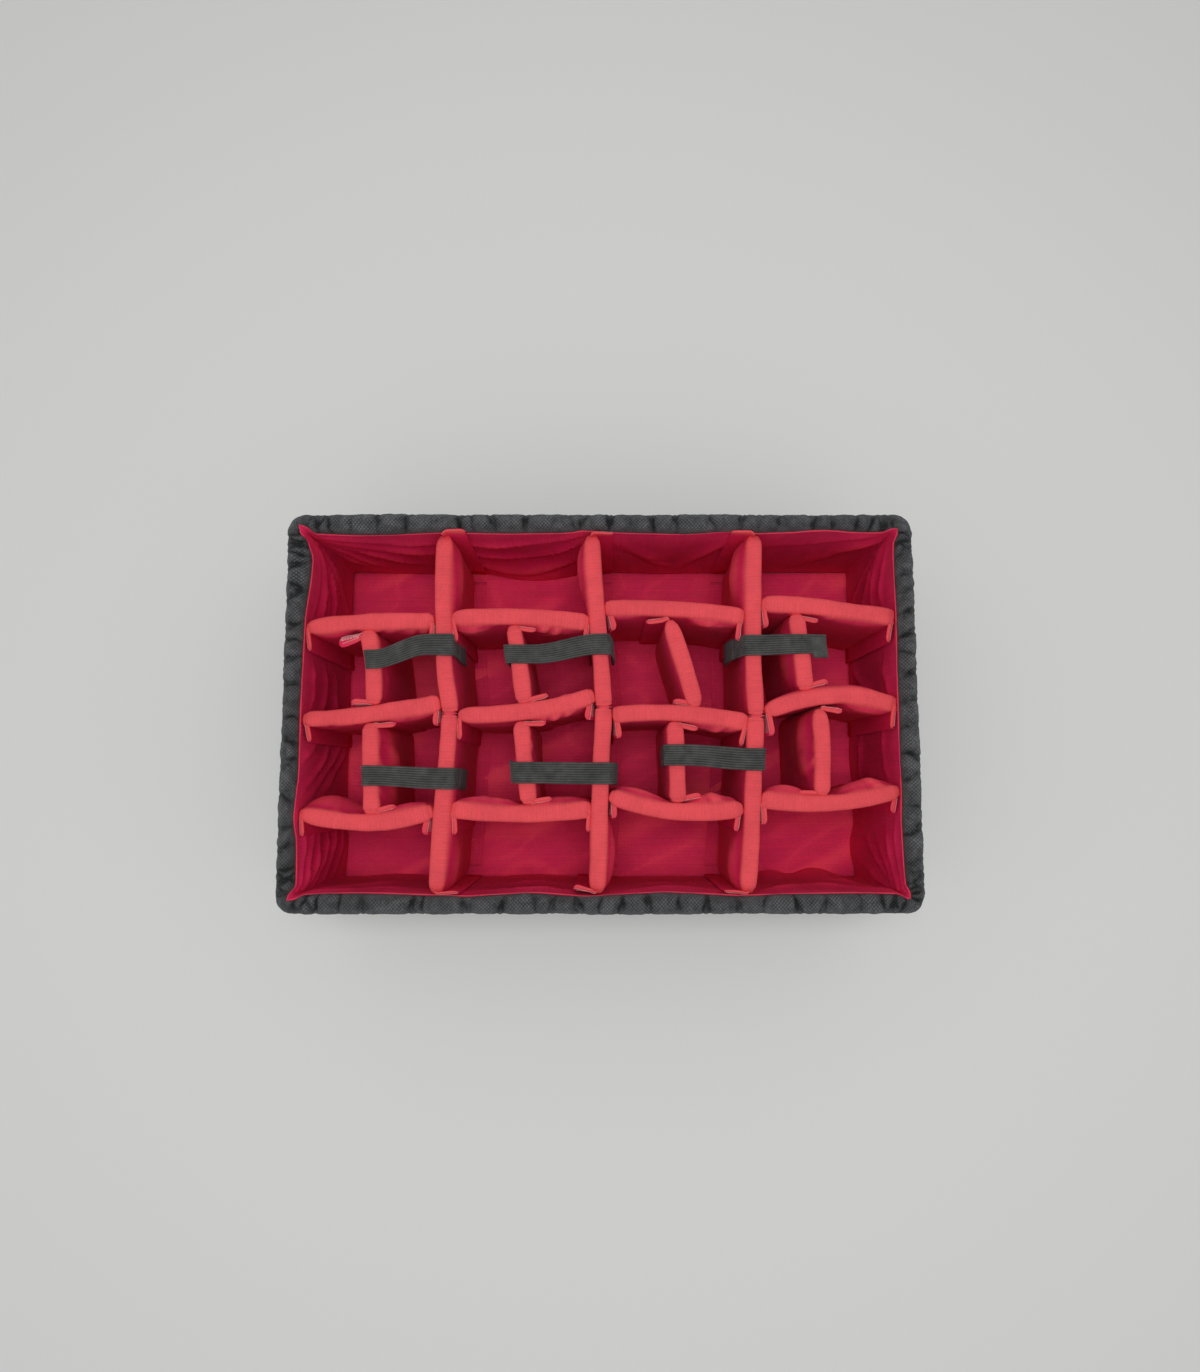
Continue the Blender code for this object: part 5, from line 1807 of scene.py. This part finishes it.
def make_floor(context):
    """The floor lining with its soft wrinkles, and the sewn flaps beside the long dividers."""
    made = finishes(context)
    step = 0.005
    xs = np.arange(-INNER_X - 0.0004, INNER_X + step / 2, step)
    ys = np.arange(-INNER_Y - 0.0004, INNER_Y + step / 2, step)
    y, x = np.meshgrid(ys, xs, indexing="ij")
    top = np.stack((x, y, np.full_like(x, FLOOR_Z)), axis=-1)
    turned = np.stack((x + y * 0.6, y - x * 0.5, np.zeros_like(x)), axis=-1)
    creases = np.maximum(smooth_noise(turned, (0.16, 0.024, 1.0), 51) - 0.1, 0)
    crossed = turned * np.array((1.0, -0.8, 1.0))
    sharp = np.exp(-np.abs(smooth_noise(crossed, (0.11, 0.05, 1.0), 53)) / 0.06)
    soft = smooth_noise(top, 0.07, 52)
    rise = 0.0014 * creases + 0.0003 * soft + 0.0006 * sharp
    top[..., 2] += rise - 0.0003
    under = top.copy()
    under[..., 2] = FLOOR_Z - LINING_THICKNESS + 0.0001
    rings = np.concatenate((top, under[:, ::-1]), axis=1)
    # Painted shade and highlight over the wrinkles, and an even share of painted highlight and raised fuzz
    # over the whole floor
    tone = np.concatenate((rise, np.zeros_like(rise)), axis=1) / 0.0012
    cloth = ClothMesh()
    cloth.add(rings, 0, around=True, capped=True, relief=np.clip(tone, -1, 1), wear=0.3)
    obj = cloth.build("floor_lining_cloth", (made.lining,))
    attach(obj, "liner")
    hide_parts("floor_lining")
    for name, side in FLOOR_FLAPS.items():
        make_floor_flap(context, name, side)


# Which side of each long divider its floor flap lies on
FLOOR_FLAPS = {"left_long": 1, "middle_long": 1, "right_long": -1}
FLAP_REACH = 0.026
FLAP_END_GAP = 0.013
FLAP_SEAMS = (0.002, 0.0065)


def make_floor_flap(context, name, side):
    """A thin sewn strip on the floor along a long divider, with two rows of stitches."""
    made = finishes(context)
    line = np.vstack((centre_line(f"{name}_front_pad"), centre_line(f"{name}_back_pad")))
    places = np.linspace(FLAP_END_GAP, lengths_along(line)[-1] - FLAP_END_GAP, 60)
    centre = resample(line, places)
    rings = []
    for number, (x, y) in enumerate(centre):
        start, end = x + side * 0.002, x + side * FLAP_REACH
        lift = FLOOR_Z + 0.0007 + 0.0002 * math.sin(number * 0.9)
        ring = [(spot, y, lift) for spot in (start, (start + end) / 2, end - side * 0.001)]
        ring.append((end, y, lift - 0.0003))
        ring += [(spot, y, FLOOR_Z - 0.0006) for spot, _, _ in ring[::-1]]
        rings.append(ring)
    cloth = ClothMesh()
    rings = np.array(rings)
    # The flap takes the same even share of painted highlight and raised fuzz as the floor
    cloth.add(rings, 0, around=True, capped=True, wear=0.3)
    for inset in FLAP_SEAMS:
        edge = rings[2:-2, 3] + np.array((-side * inset, 0, 0.0004))
        cloth.stitches(edge, 1, radius=0.00025)
    obj = cloth.build(f"{name}_floor_flap", (made.lining, made.sleeve))
    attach(obj, "liner")


def dress_hidden_nodes(context):
    """Foam boards keep their solids and get their finish. The base panel keeps its solid and gets its
    finish in make_base.
    """
    made = finishes(context)
    for node in ("floor_foam", *(f"{wall}_wall_foam" for wall in WALL_NAMES)):
        NODES[node].data.materials.clear()
        NODES[node].data.materials.append(made.foam)


# The edge binding's section round the base panel: depth in from the wall's face and height
BASE_SECTION = (
    (-0.0012, 0.0008), (-0.0014, 0.0030), (-0.0012, 0.0070), (-0.0002, 0.0076), (0.0003, 0.0060),
    (0.0004, 0.0030), (0.0035, 0.0019), (0.0105, 0.0010), (0.0105, 0.00002),
    (0.0004, 0.00002),
)


def make_base(context):
    """The base panel's cloth with a bound edge all round, sewn with black thread."""
    made = finishes(context)
    low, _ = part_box("base_panel")
    rings, under = [], []
    for wall in WALL_NAMES:
        base, inward, _, _, _ = wall_stations(wall, 0.012)
        for point, way in zip(base[:-1], inward[:-1]):
            rings.append([(*(point + way * depth), low.z + z) for depth, z in BASE_SECTION])
            under.append((*(point + way * 0.008), low.z + 0.00005))
    rings.append(rings[0])
    cloth = ClothMesh()
    cloth.add(np.array(rings), 0, around=True)
    cloth.stitches(np.array(under), 1, radius=0.0002)
    obj = cloth.build("base_edge_binding", (made.elastic, made.black_thread))
    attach(obj, "liner")
    panel = NODES["base_panel"]
    panel.data.materials.clear()
    panel.data.materials.append(base_material(made))


def base_material(made):
    """The nylon of the base panel, whose weave is laid out by place in the object."""
    material = made.nylon.copy()
    material.name = "black_base_nylon"
    tree = material.node_tree
    place = next(n for n in tree.nodes if n.type == "UVMAP")
    position = next(n for n in tree.nodes if n.type == "TEX_COORD")
    for link in list(place.outputs["UV"].links):
        tree.links.new(position.outputs["Object"], link.to_socket)
    tree.nodes.remove(place)
    return material


# Straps


# For each strap: its width at its near and its far end, how far its near fold stands out past
# the short divider, how far it sags between the dividers, how far its far leg stands off, where
# its side step lies as shares of its span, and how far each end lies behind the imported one.
STRAP_SHAPES = {
    "back_strap_1": ((0.0215, 0.0250), 0.0, -0.0015, 0.001, (0.12, 0.7), (0.0, 0.0085)),
    "back_strap_2": ((0.0215, 0.0240), 0.0030, 0.001, 0.005, (0.3, 0.9), (0.002, 0.0085)),
    "back_strap_4": ((0.0225, 0.0235), 0.0, 0.0005, 0.013, (0.2, 0.8), (0.006, 0.0055)),
    "front_strap_1": ((0.0225, 0.0240), -0.0020, 0.0005, 0.001, (0.1, 0.9), (0.0, 0.0)),
    "front_strap_2": ((0.0240, 0.0245), 0.0020, 0.0005, 0.007, (0.2, 0.8), (0.0, 0.0)),
    "front_strap_3": ((0.0235, 0.0250), 0.0020, 0.001, 0.002, (0.2, 0.9), (0.0, 0.0)),
}
# The strap whose near end lies open on the short divider's top
OPEN_STRAP = "back_strap_4"
NEAR_LEG = 0.070
# Mesh rows of a strap under each kind of end patch
OPEN_PATCH = 8
NEAR_PATCH = 11
FAR_PATCH = 24
# How far a strap's near leg stands off just below its fold, where it hangs loose
LOOSE_LEGS = {"front_strap_2": 0.005}


def strap_ends(name):
    """The CAD strap's near fold line and far bend line: two plan points each, and its way."""
    points = node_points(f"{name}_band")
    tops = top_points(points, points[:, 2].max())
    tab_low, tab_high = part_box(f"{name}_tab")
    tab_x = (tab_low.x + tab_high.x) / 2
    tops = tops[np.argsort(np.abs(tops[:, 0] - tab_x))]
    near, far = tops[:2], tops[-2:]
    near, far = near[np.argsort(near[:, 1])], far[np.argsort(far[:, 1])]
    return near, far, 1 if far[0, 0] > near[0, 0] else -1


def strap_course(name, leg):
    """The strap's centre line in space, and the way its width runs along it."""
    near, far, way = strap_ends(name)
    widths, stands_out, sag, off, step, behind = STRAP_SHAPES[name]
    near_way, far_way = unit(near[1] - near[0]), unit(far[1] - far[0])
    start, bend = near.mean(axis=0), far.mean(axis=0)
    start[1] += behind[0]
    bend[1] += behind[1]
    top = PAD_HIGH + 0.0012
    edge = start[0] - way * (0.0012 + stands_out)
    far_edge = bend[0] + way * 0.0042
    span = far_edge - edge
    keys = []
    if name == OPEN_STRAP:
        keys.append((start[0] - way * 0.018, start[1], top - 0.0035))
        keys.append((start[0] - way * 0.010, start[1], top - 0.0018))
    else:
        foot = start[0] - way * 0.0014
        keys.append((foot, start[1], top - NEAR_LEG))
        keys.append((foot - way * stands_out * 0.2, start[1], top - NEAR_LEG * 0.5))
        loose = LOOSE_LEGS.get(name, 0.0)
        keys.append((edge - way * loose, start[1] + loose * 0.6, top - 0.007 - loose))
        keys.append((edge, start[1], top - 0.0015))
        keys.append((edge + way * 0.0015, start[1], top))
    for share in np.linspace(0.06, 0.94, 10):
        slide = float(smooth_step(share, *step))
        x = edge + span * share
        clear = float(smooth_step(share, 0.16, 0.3) * smooth_step(share, 0.86, 0.72))
        y = start[1] + (bend[1] - start[1]) * slide
        keys.append((x, y, top - sag * clear))
    keys.append((far_edge - way * 0.002, bend[1], top))
    keys.append((far_edge, bend[1], top - 0.002))
    keys.append((far_edge + way * off * 0.6, bend[1], top - leg * 0.35))
    keys.append((far_edge + way * off, bend[1] - 0.001, top - leg * 0.7))
    keys.append((far_edge + way * off * 0.8, bend[1] - 0.001, top - leg))
    course = rounded_line(keys)
    total = lengths_along(course)[-1]
    course = resample(course, np.linspace(0, total, int(total / 0.0024)))
    share = smooth_step(course[:, 0] * way, edge * way, far_edge * way)[:, None]
    across = unit(near_way * (1 - share) + far_way * share)
    width = widths[0] + (widths[1] - widths[0]) * share[:, 0]
    return course, np.column_stack((across, np.zeros(len(across)))), way, width


RIB_SHARES = np.array((0.0, 0.1, 0.28, 0.5, 0.72, 0.9))


def strap_grid(course, across, width, sizes, seed):
    """Rings of a ribbed strap: ridges on both faces, thin rolled edges."""
    run = unit(np.gradient(course, axis=0))
    across = unit(across - run * np.sum(across * run, axis=1, keepdims=True))
    up = np.cross(across, run)
    turns = (np.arange(sizes.rib_count)[:, None] + RIB_SHARES).ravel()
    turns = np.append(turns, sizes.rib_count)
    places = turns / sizes.rib_count - 0.5
    ribs = np.abs(np.sin(math.pi * turns)) ** 0.6
    edge = smooth_step(0.5 - np.abs(places), 0.0, 0.02)
    half = sizes.thickness / 2 * (0.55 + 0.45 * edge) + sizes.rib_height * ribs
    swell = width * (1 + 0.02 * smooth_noise(course, 0.02, seed))
    cup = 0.0007 * smooth_noise(course, 0.03, seed + 1)[:, None] * (4 * places**2)[None, :]
    middle = course[:, None, :] + across[:, None, :] * (places[None, :] * swell[:, None])[..., None]
    middle = middle + up[:, None, :] * cup[..., None]
    outside = middle + up[:, None, :] * half[None, :, None]
    inside = middle - up[:, None, :] * half[None, :, None]
    rings = np.concatenate((outside, inside[:, ::-1]), axis=1)
    # Painted shade in the grooves between the ribs and a little painted highlight on their crests
    lines = np.sin(math.pi * turns) ** 2
    tone = np.concatenate((lines, lines[::-1])) * 1.3 - 0.85
    return rings, np.broadcast_to(tone, rings.shape[:2])


def end_patch(cloth, course, across, width, thickness, shift):
    """A flat sewn patch over a strap's end, with its box of stitches."""
    run = unit(np.gradient(course, axis=0))
    up = np.cross(unit(across), run)
    places = np.linspace(-0.5, 0.5, 9)
    spread = places[None, :] * width[:, None] + shift
    middle = course[:, None, :] + across[:, None, :] * spread[..., None]
    outside = middle + up[:, None, :] * thickness
    inside = middle - up[:, None, :] * thickness
    cloth.add(np.concatenate((outside, inside[:, ::-1]), axis=1), 1, around=True, capped=True)
    for face, way in ((outside, 1), (inside, -1)):
        lifted = face + up[:, None, :] * way * 0.00015
        for line in (lifted[2:-2, 1], lifted[2:-2, -2], lifted[2, 1:-1], lifted[-3, 1:-1]):
            cloth.stitches(line, 2, radius=0.0003)


def make_strap(context, name, seed):
    """An elastic strap: one band over both dividers, with sewn hook patches at its ends."""
    sizes = context.scene.divider_straps
    made = finishes(context)
    course, across, way, width = strap_course(name, sizes.leg)
    cloth = ClothMesh()
    rings, tone = strap_grid(course, across, width, sizes, seed)
    cloth.add(rings, 0, around=True, capped=True, relief=tone)
    thick = sizes.thickness / 2 + sizes.rib_height + 0.0004
    near_rows, extra, shift = NEAR_PATCH, 0.0004, 0.0
    if name == OPEN_STRAP:
        near_rows, extra, shift = OPEN_PATCH, 0.0015, -0.0035
    for rows, extra, shift in (
        (slice(near_rows), extra, shift),
        (slice(-FAR_PATCH, None), 0.0004, 0.0),
    ):
        end_patch(cloth, course[rows], across[rows], width[rows] + extra, thick, shift)
    obj = cloth.build(f"{name}_elastic", (made.elastic, made.elastic, made.black_thread))
    near, _, _ = strap_ends(name)
    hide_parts(f"{name}_tab", f"{name}_band")
    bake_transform(obj)


# Stage

# Each area light: where it stands, what it points at, its size, and its share of the key power
LIGHTS = {
    "key_light": ((0.0, 0.0, 2.3), (0.0, 0.0, 0.2), (0.9, 0.7), 1.0),
    "left_light": ((-2.2, -0.6, 1.6), (0.0, 0.0, 0.1), (1.2, 1.2), 0.1),
    "right_light": ((2.2, -0.9, 1.5), (0.0, 0.0, 0.1), (1.2, 1.2), 0.08),
}


def make_floor_stage(sizes):
    """A plain pale floor below the set."""
    half = sizes.floor_size / 2
    grid = np.array([[(x, y, CAD_LOW.z - 0.0002) for y in (-half, 0, half)] for x in (-half, 0, half)])
    cloth = ClothMesh()
    cloth.add(grid)
    material, _, shader = new_material("plain_floor")
    shader.inputs["Base Color"].default_value = (*sizes.floor_colour, 1.0)
    shader.inputs["Roughness"].default_value = 0.85
    floor = cloth.build("stage_floor", (material,), closed=False)


def make_light(name, place, aim, size, power):
    """A rectangular area light that points at a spot."""
    data = bpy.data.lights.new(name, "AREA")
    data.shape = "RECTANGLE"
    data.size, data.size_y = size
    data.energy = power
    lamp = bpy.data.objects.new(name, data)
    bpy.context.scene.collection.objects.link(lamp)
    lamp.location = place
    lamp.rotation_euler = (Vector(aim) - Vector(place)).to_track_quat("-Z", "Y").to_euler()


def make_camera():
    """The photograph's view: from above, tilted a little towards the back."""
    data = bpy.data.cameras.new("photo_camera")
    data.sensor_width = SENSOR
    data.lens = SENSOR * FOCAL_LENGTH_PX / PHOTO_LONG_SIDE_PX
    data.clip_start, data.clip_end = 0.05, 50.0
    camera = bpy.data.objects.new("photo_camera", data)
    bpy.context.scene.collection.objects.link(camera)
    camera.location = (0.0, CAMERA_Y, RIM_Z + CAMERA_ABOVE_RIM)
    camera.rotation_euler = (CAMERA_TILT, 0.0, 0.0)
    bpy.context.scene.camera = camera


def make_sky(strength):
    """Even white light from all around."""
    world = bpy.data.worlds.new("studio")
    world.use_nodes = True
    shader = world.node_tree.nodes["Background"]
    shader.inputs["Color"].default_value = (1.0, 1.0, 1.0, 1.0)
    shader.inputs["Strength"].default_value = strength
    bpy.context.scene.world = world


# Operators


class DIVIDER_OT_stage(bpy.types.Operator):
    """Make the floor, the soft lights and the camera."""

    bl_idname = "divider.stage"
    bl_label = "Stage"

    def execute(self, context):
        sizes = context.scene.divider_stage
        make_floor_stage(sizes)
        for name, (place, aim, size, share) in LIGHTS.items():
            make_light(name, place, aim, size, sizes.key_power * share)
        make_camera()
        make_sky(sizes.sky_strength)
        context.scene.view_settings.view_transform = "Standard"
        return {"FINISHED"}


class DIVIDER_OT_liner_core(bpy.types.Operator):
    """Dress the foam boards and the base panel with its bound edge."""

    bl_idname = "divider.liner_core"
    bl_label = "Foam and Base"

    def execute(self, context):
        dress_hidden_nodes(context)
        make_base(context)
        return {"FINISHED"}


class DIVIDER_OT_covers(bpy.types.Operator):
    """Make the puffed and creased nylon covers of the four walls."""

    bl_idname = "divider.covers"
    bl_label = "Nylon Covers"

    def execute(self, context):
        for wall in WALL_NAMES:
            make_cover(context, wall)
        return {"FINISHED"}


class DIVIDER_OT_linings(bpy.types.Operator):
    """Drape the red linings of the four walls."""

    bl_idname = "divider.linings"
    bl_label = "Wall Linings"

    def execute(self, context):
        for wall in WALL_NAMES:
            make_lining(context, wall)
        return {"FINISHED"}


class DIVIDER_OT_floor(bpy.types.Operator):
    """Lay the floor lining and its sewn flaps."""

    bl_idname = "divider.floor"
    bl_label = "Floor Lining"

    def execute(self, context):
        make_floor(context)
        return {"FINISHED"}


class DIVIDER_OT_long_dividers(bpy.types.Operator):
    """Make the three long dividers with their sewn joints."""

    bl_idname = "divider.long_dividers"
    bl_label = "Long Dividers"

    def execute(self, context):
        for number, name in enumerate(LONG_NAMES):
            make_long_divider(context, name, 100 + number * 17)
        return {"FINISHED"}


class DIVIDER_OT_cross_dividers(bpy.types.Operator):
    """Make the twelve cross dividers."""

    bl_idname = "divider.cross_dividers"
    bl_label = "Cross Dividers"

    def execute(self, context):
        for number, (name, (tips, flares)) in enumerate(TIP_SHAPES.items()):
            make_divider(context, name, tips, flares, 200 + number * 13)
        return {"FINISHED"}


class DIVIDER_OT_short_dividers(bpy.types.Operator):
    """Make the eight short dividers."""

    bl_idname = "divider.short_dividers"
    bl_label = "Short Dividers"

    def execute(self, context):
        names = [f"{row}_short_{column}" for row in ("back", "front") for column in (1, 2, 3, 4)]
        for number, name in enumerate(names):
            tab_node = f"{name}_hook_tab" if f"{name}_hook_tab" in NODES else None
            tips = SHORT_TIP_SHAPES.get(name, SHORT_TIPS)
            make_divider(context, name, tips, SHORT_FLARES[name], 400 + number * 13, tab_node)
        return {"FINISHED"}


class DIVIDER_OT_straps(bpy.types.Operator):
    """Make the six elastic straps."""

    bl_idname = "divider.straps"
    bl_label = "Elastic Straps"

    def execute(self, context):
        for number, name in enumerate(STRAP_SHAPES):
            make_strap(context, name, 600 + number * 11)
        return {"FINISHED"}


class DIVIDER_PT_panel(bpy.types.Panel):
    """Lists the set's pieces and their settings."""

    bl_idname = "DIVIDER_PT_panel"
    bl_label = "Padded Divider Set"
    bl_space_type = "VIEW_3D"
    bl_region_type = "UI"
    bl_category = "Dividers"

    def draw(self, context):
        layout = self.layout
        for step in STEPS:
            layout.operator(step.bl_idname)
        for group in GROUPS:
            box = layout.box()
            settings = getattr(context.scene, group)
            for key in GROUPS[group].__annotations__:
                box.prop(settings, key)


STEPS = (
    DIVIDER_OT_stage,
    DIVIDER_OT_liner_core,
    DIVIDER_OT_covers,
    DIVIDER_OT_linings,
    DIVIDER_OT_floor,
    DIVIDER_OT_long_dividers,
    DIVIDER_OT_cross_dividers,
    DIVIDER_OT_short_dividers,
    DIVIDER_OT_straps,
)
GROUPS = {
    "divider_colours": FabricColours,
    "divider_pads": PadSizes,
    "divider_liner": LinerSizes,
    "divider_straps": StrapSizes,
    "divider_stage": StageSizes,
}


def register():
    for group in GROUPS.values():
        bpy.utils.register_class(group)
    for name, group in GROUPS.items():
        setattr(bpy.types.Scene, name, bpy.props.PointerProperty(type=group))
    for step in (*STEPS, DIVIDER_PT_panel):
        bpy.utils.register_class(step)


def unregister():
    for step in (DIVIDER_PT_panel, *reversed(STEPS)):
        bpy.utils.unregister_class(step)
    for name, group in GROUPS.items():
        delattr(bpy.types.Scene, name)
        bpy.utils.unregister_class(group)


def main():
    register()
    bpy.ops.divider.stage()
    bpy.ops.divider.liner_core()
    bpy.ops.divider.covers()
    bpy.ops.divider.linings()
    bpy.ops.divider.floor()
    bpy.ops.divider.long_dividers()
    bpy.ops.divider.cross_dividers()
    bpy.ops.divider.short_dividers()
    bpy.ops.divider.straps()
    bpy.context.view_layer.update()


if __name__ == "__main__":
    main()
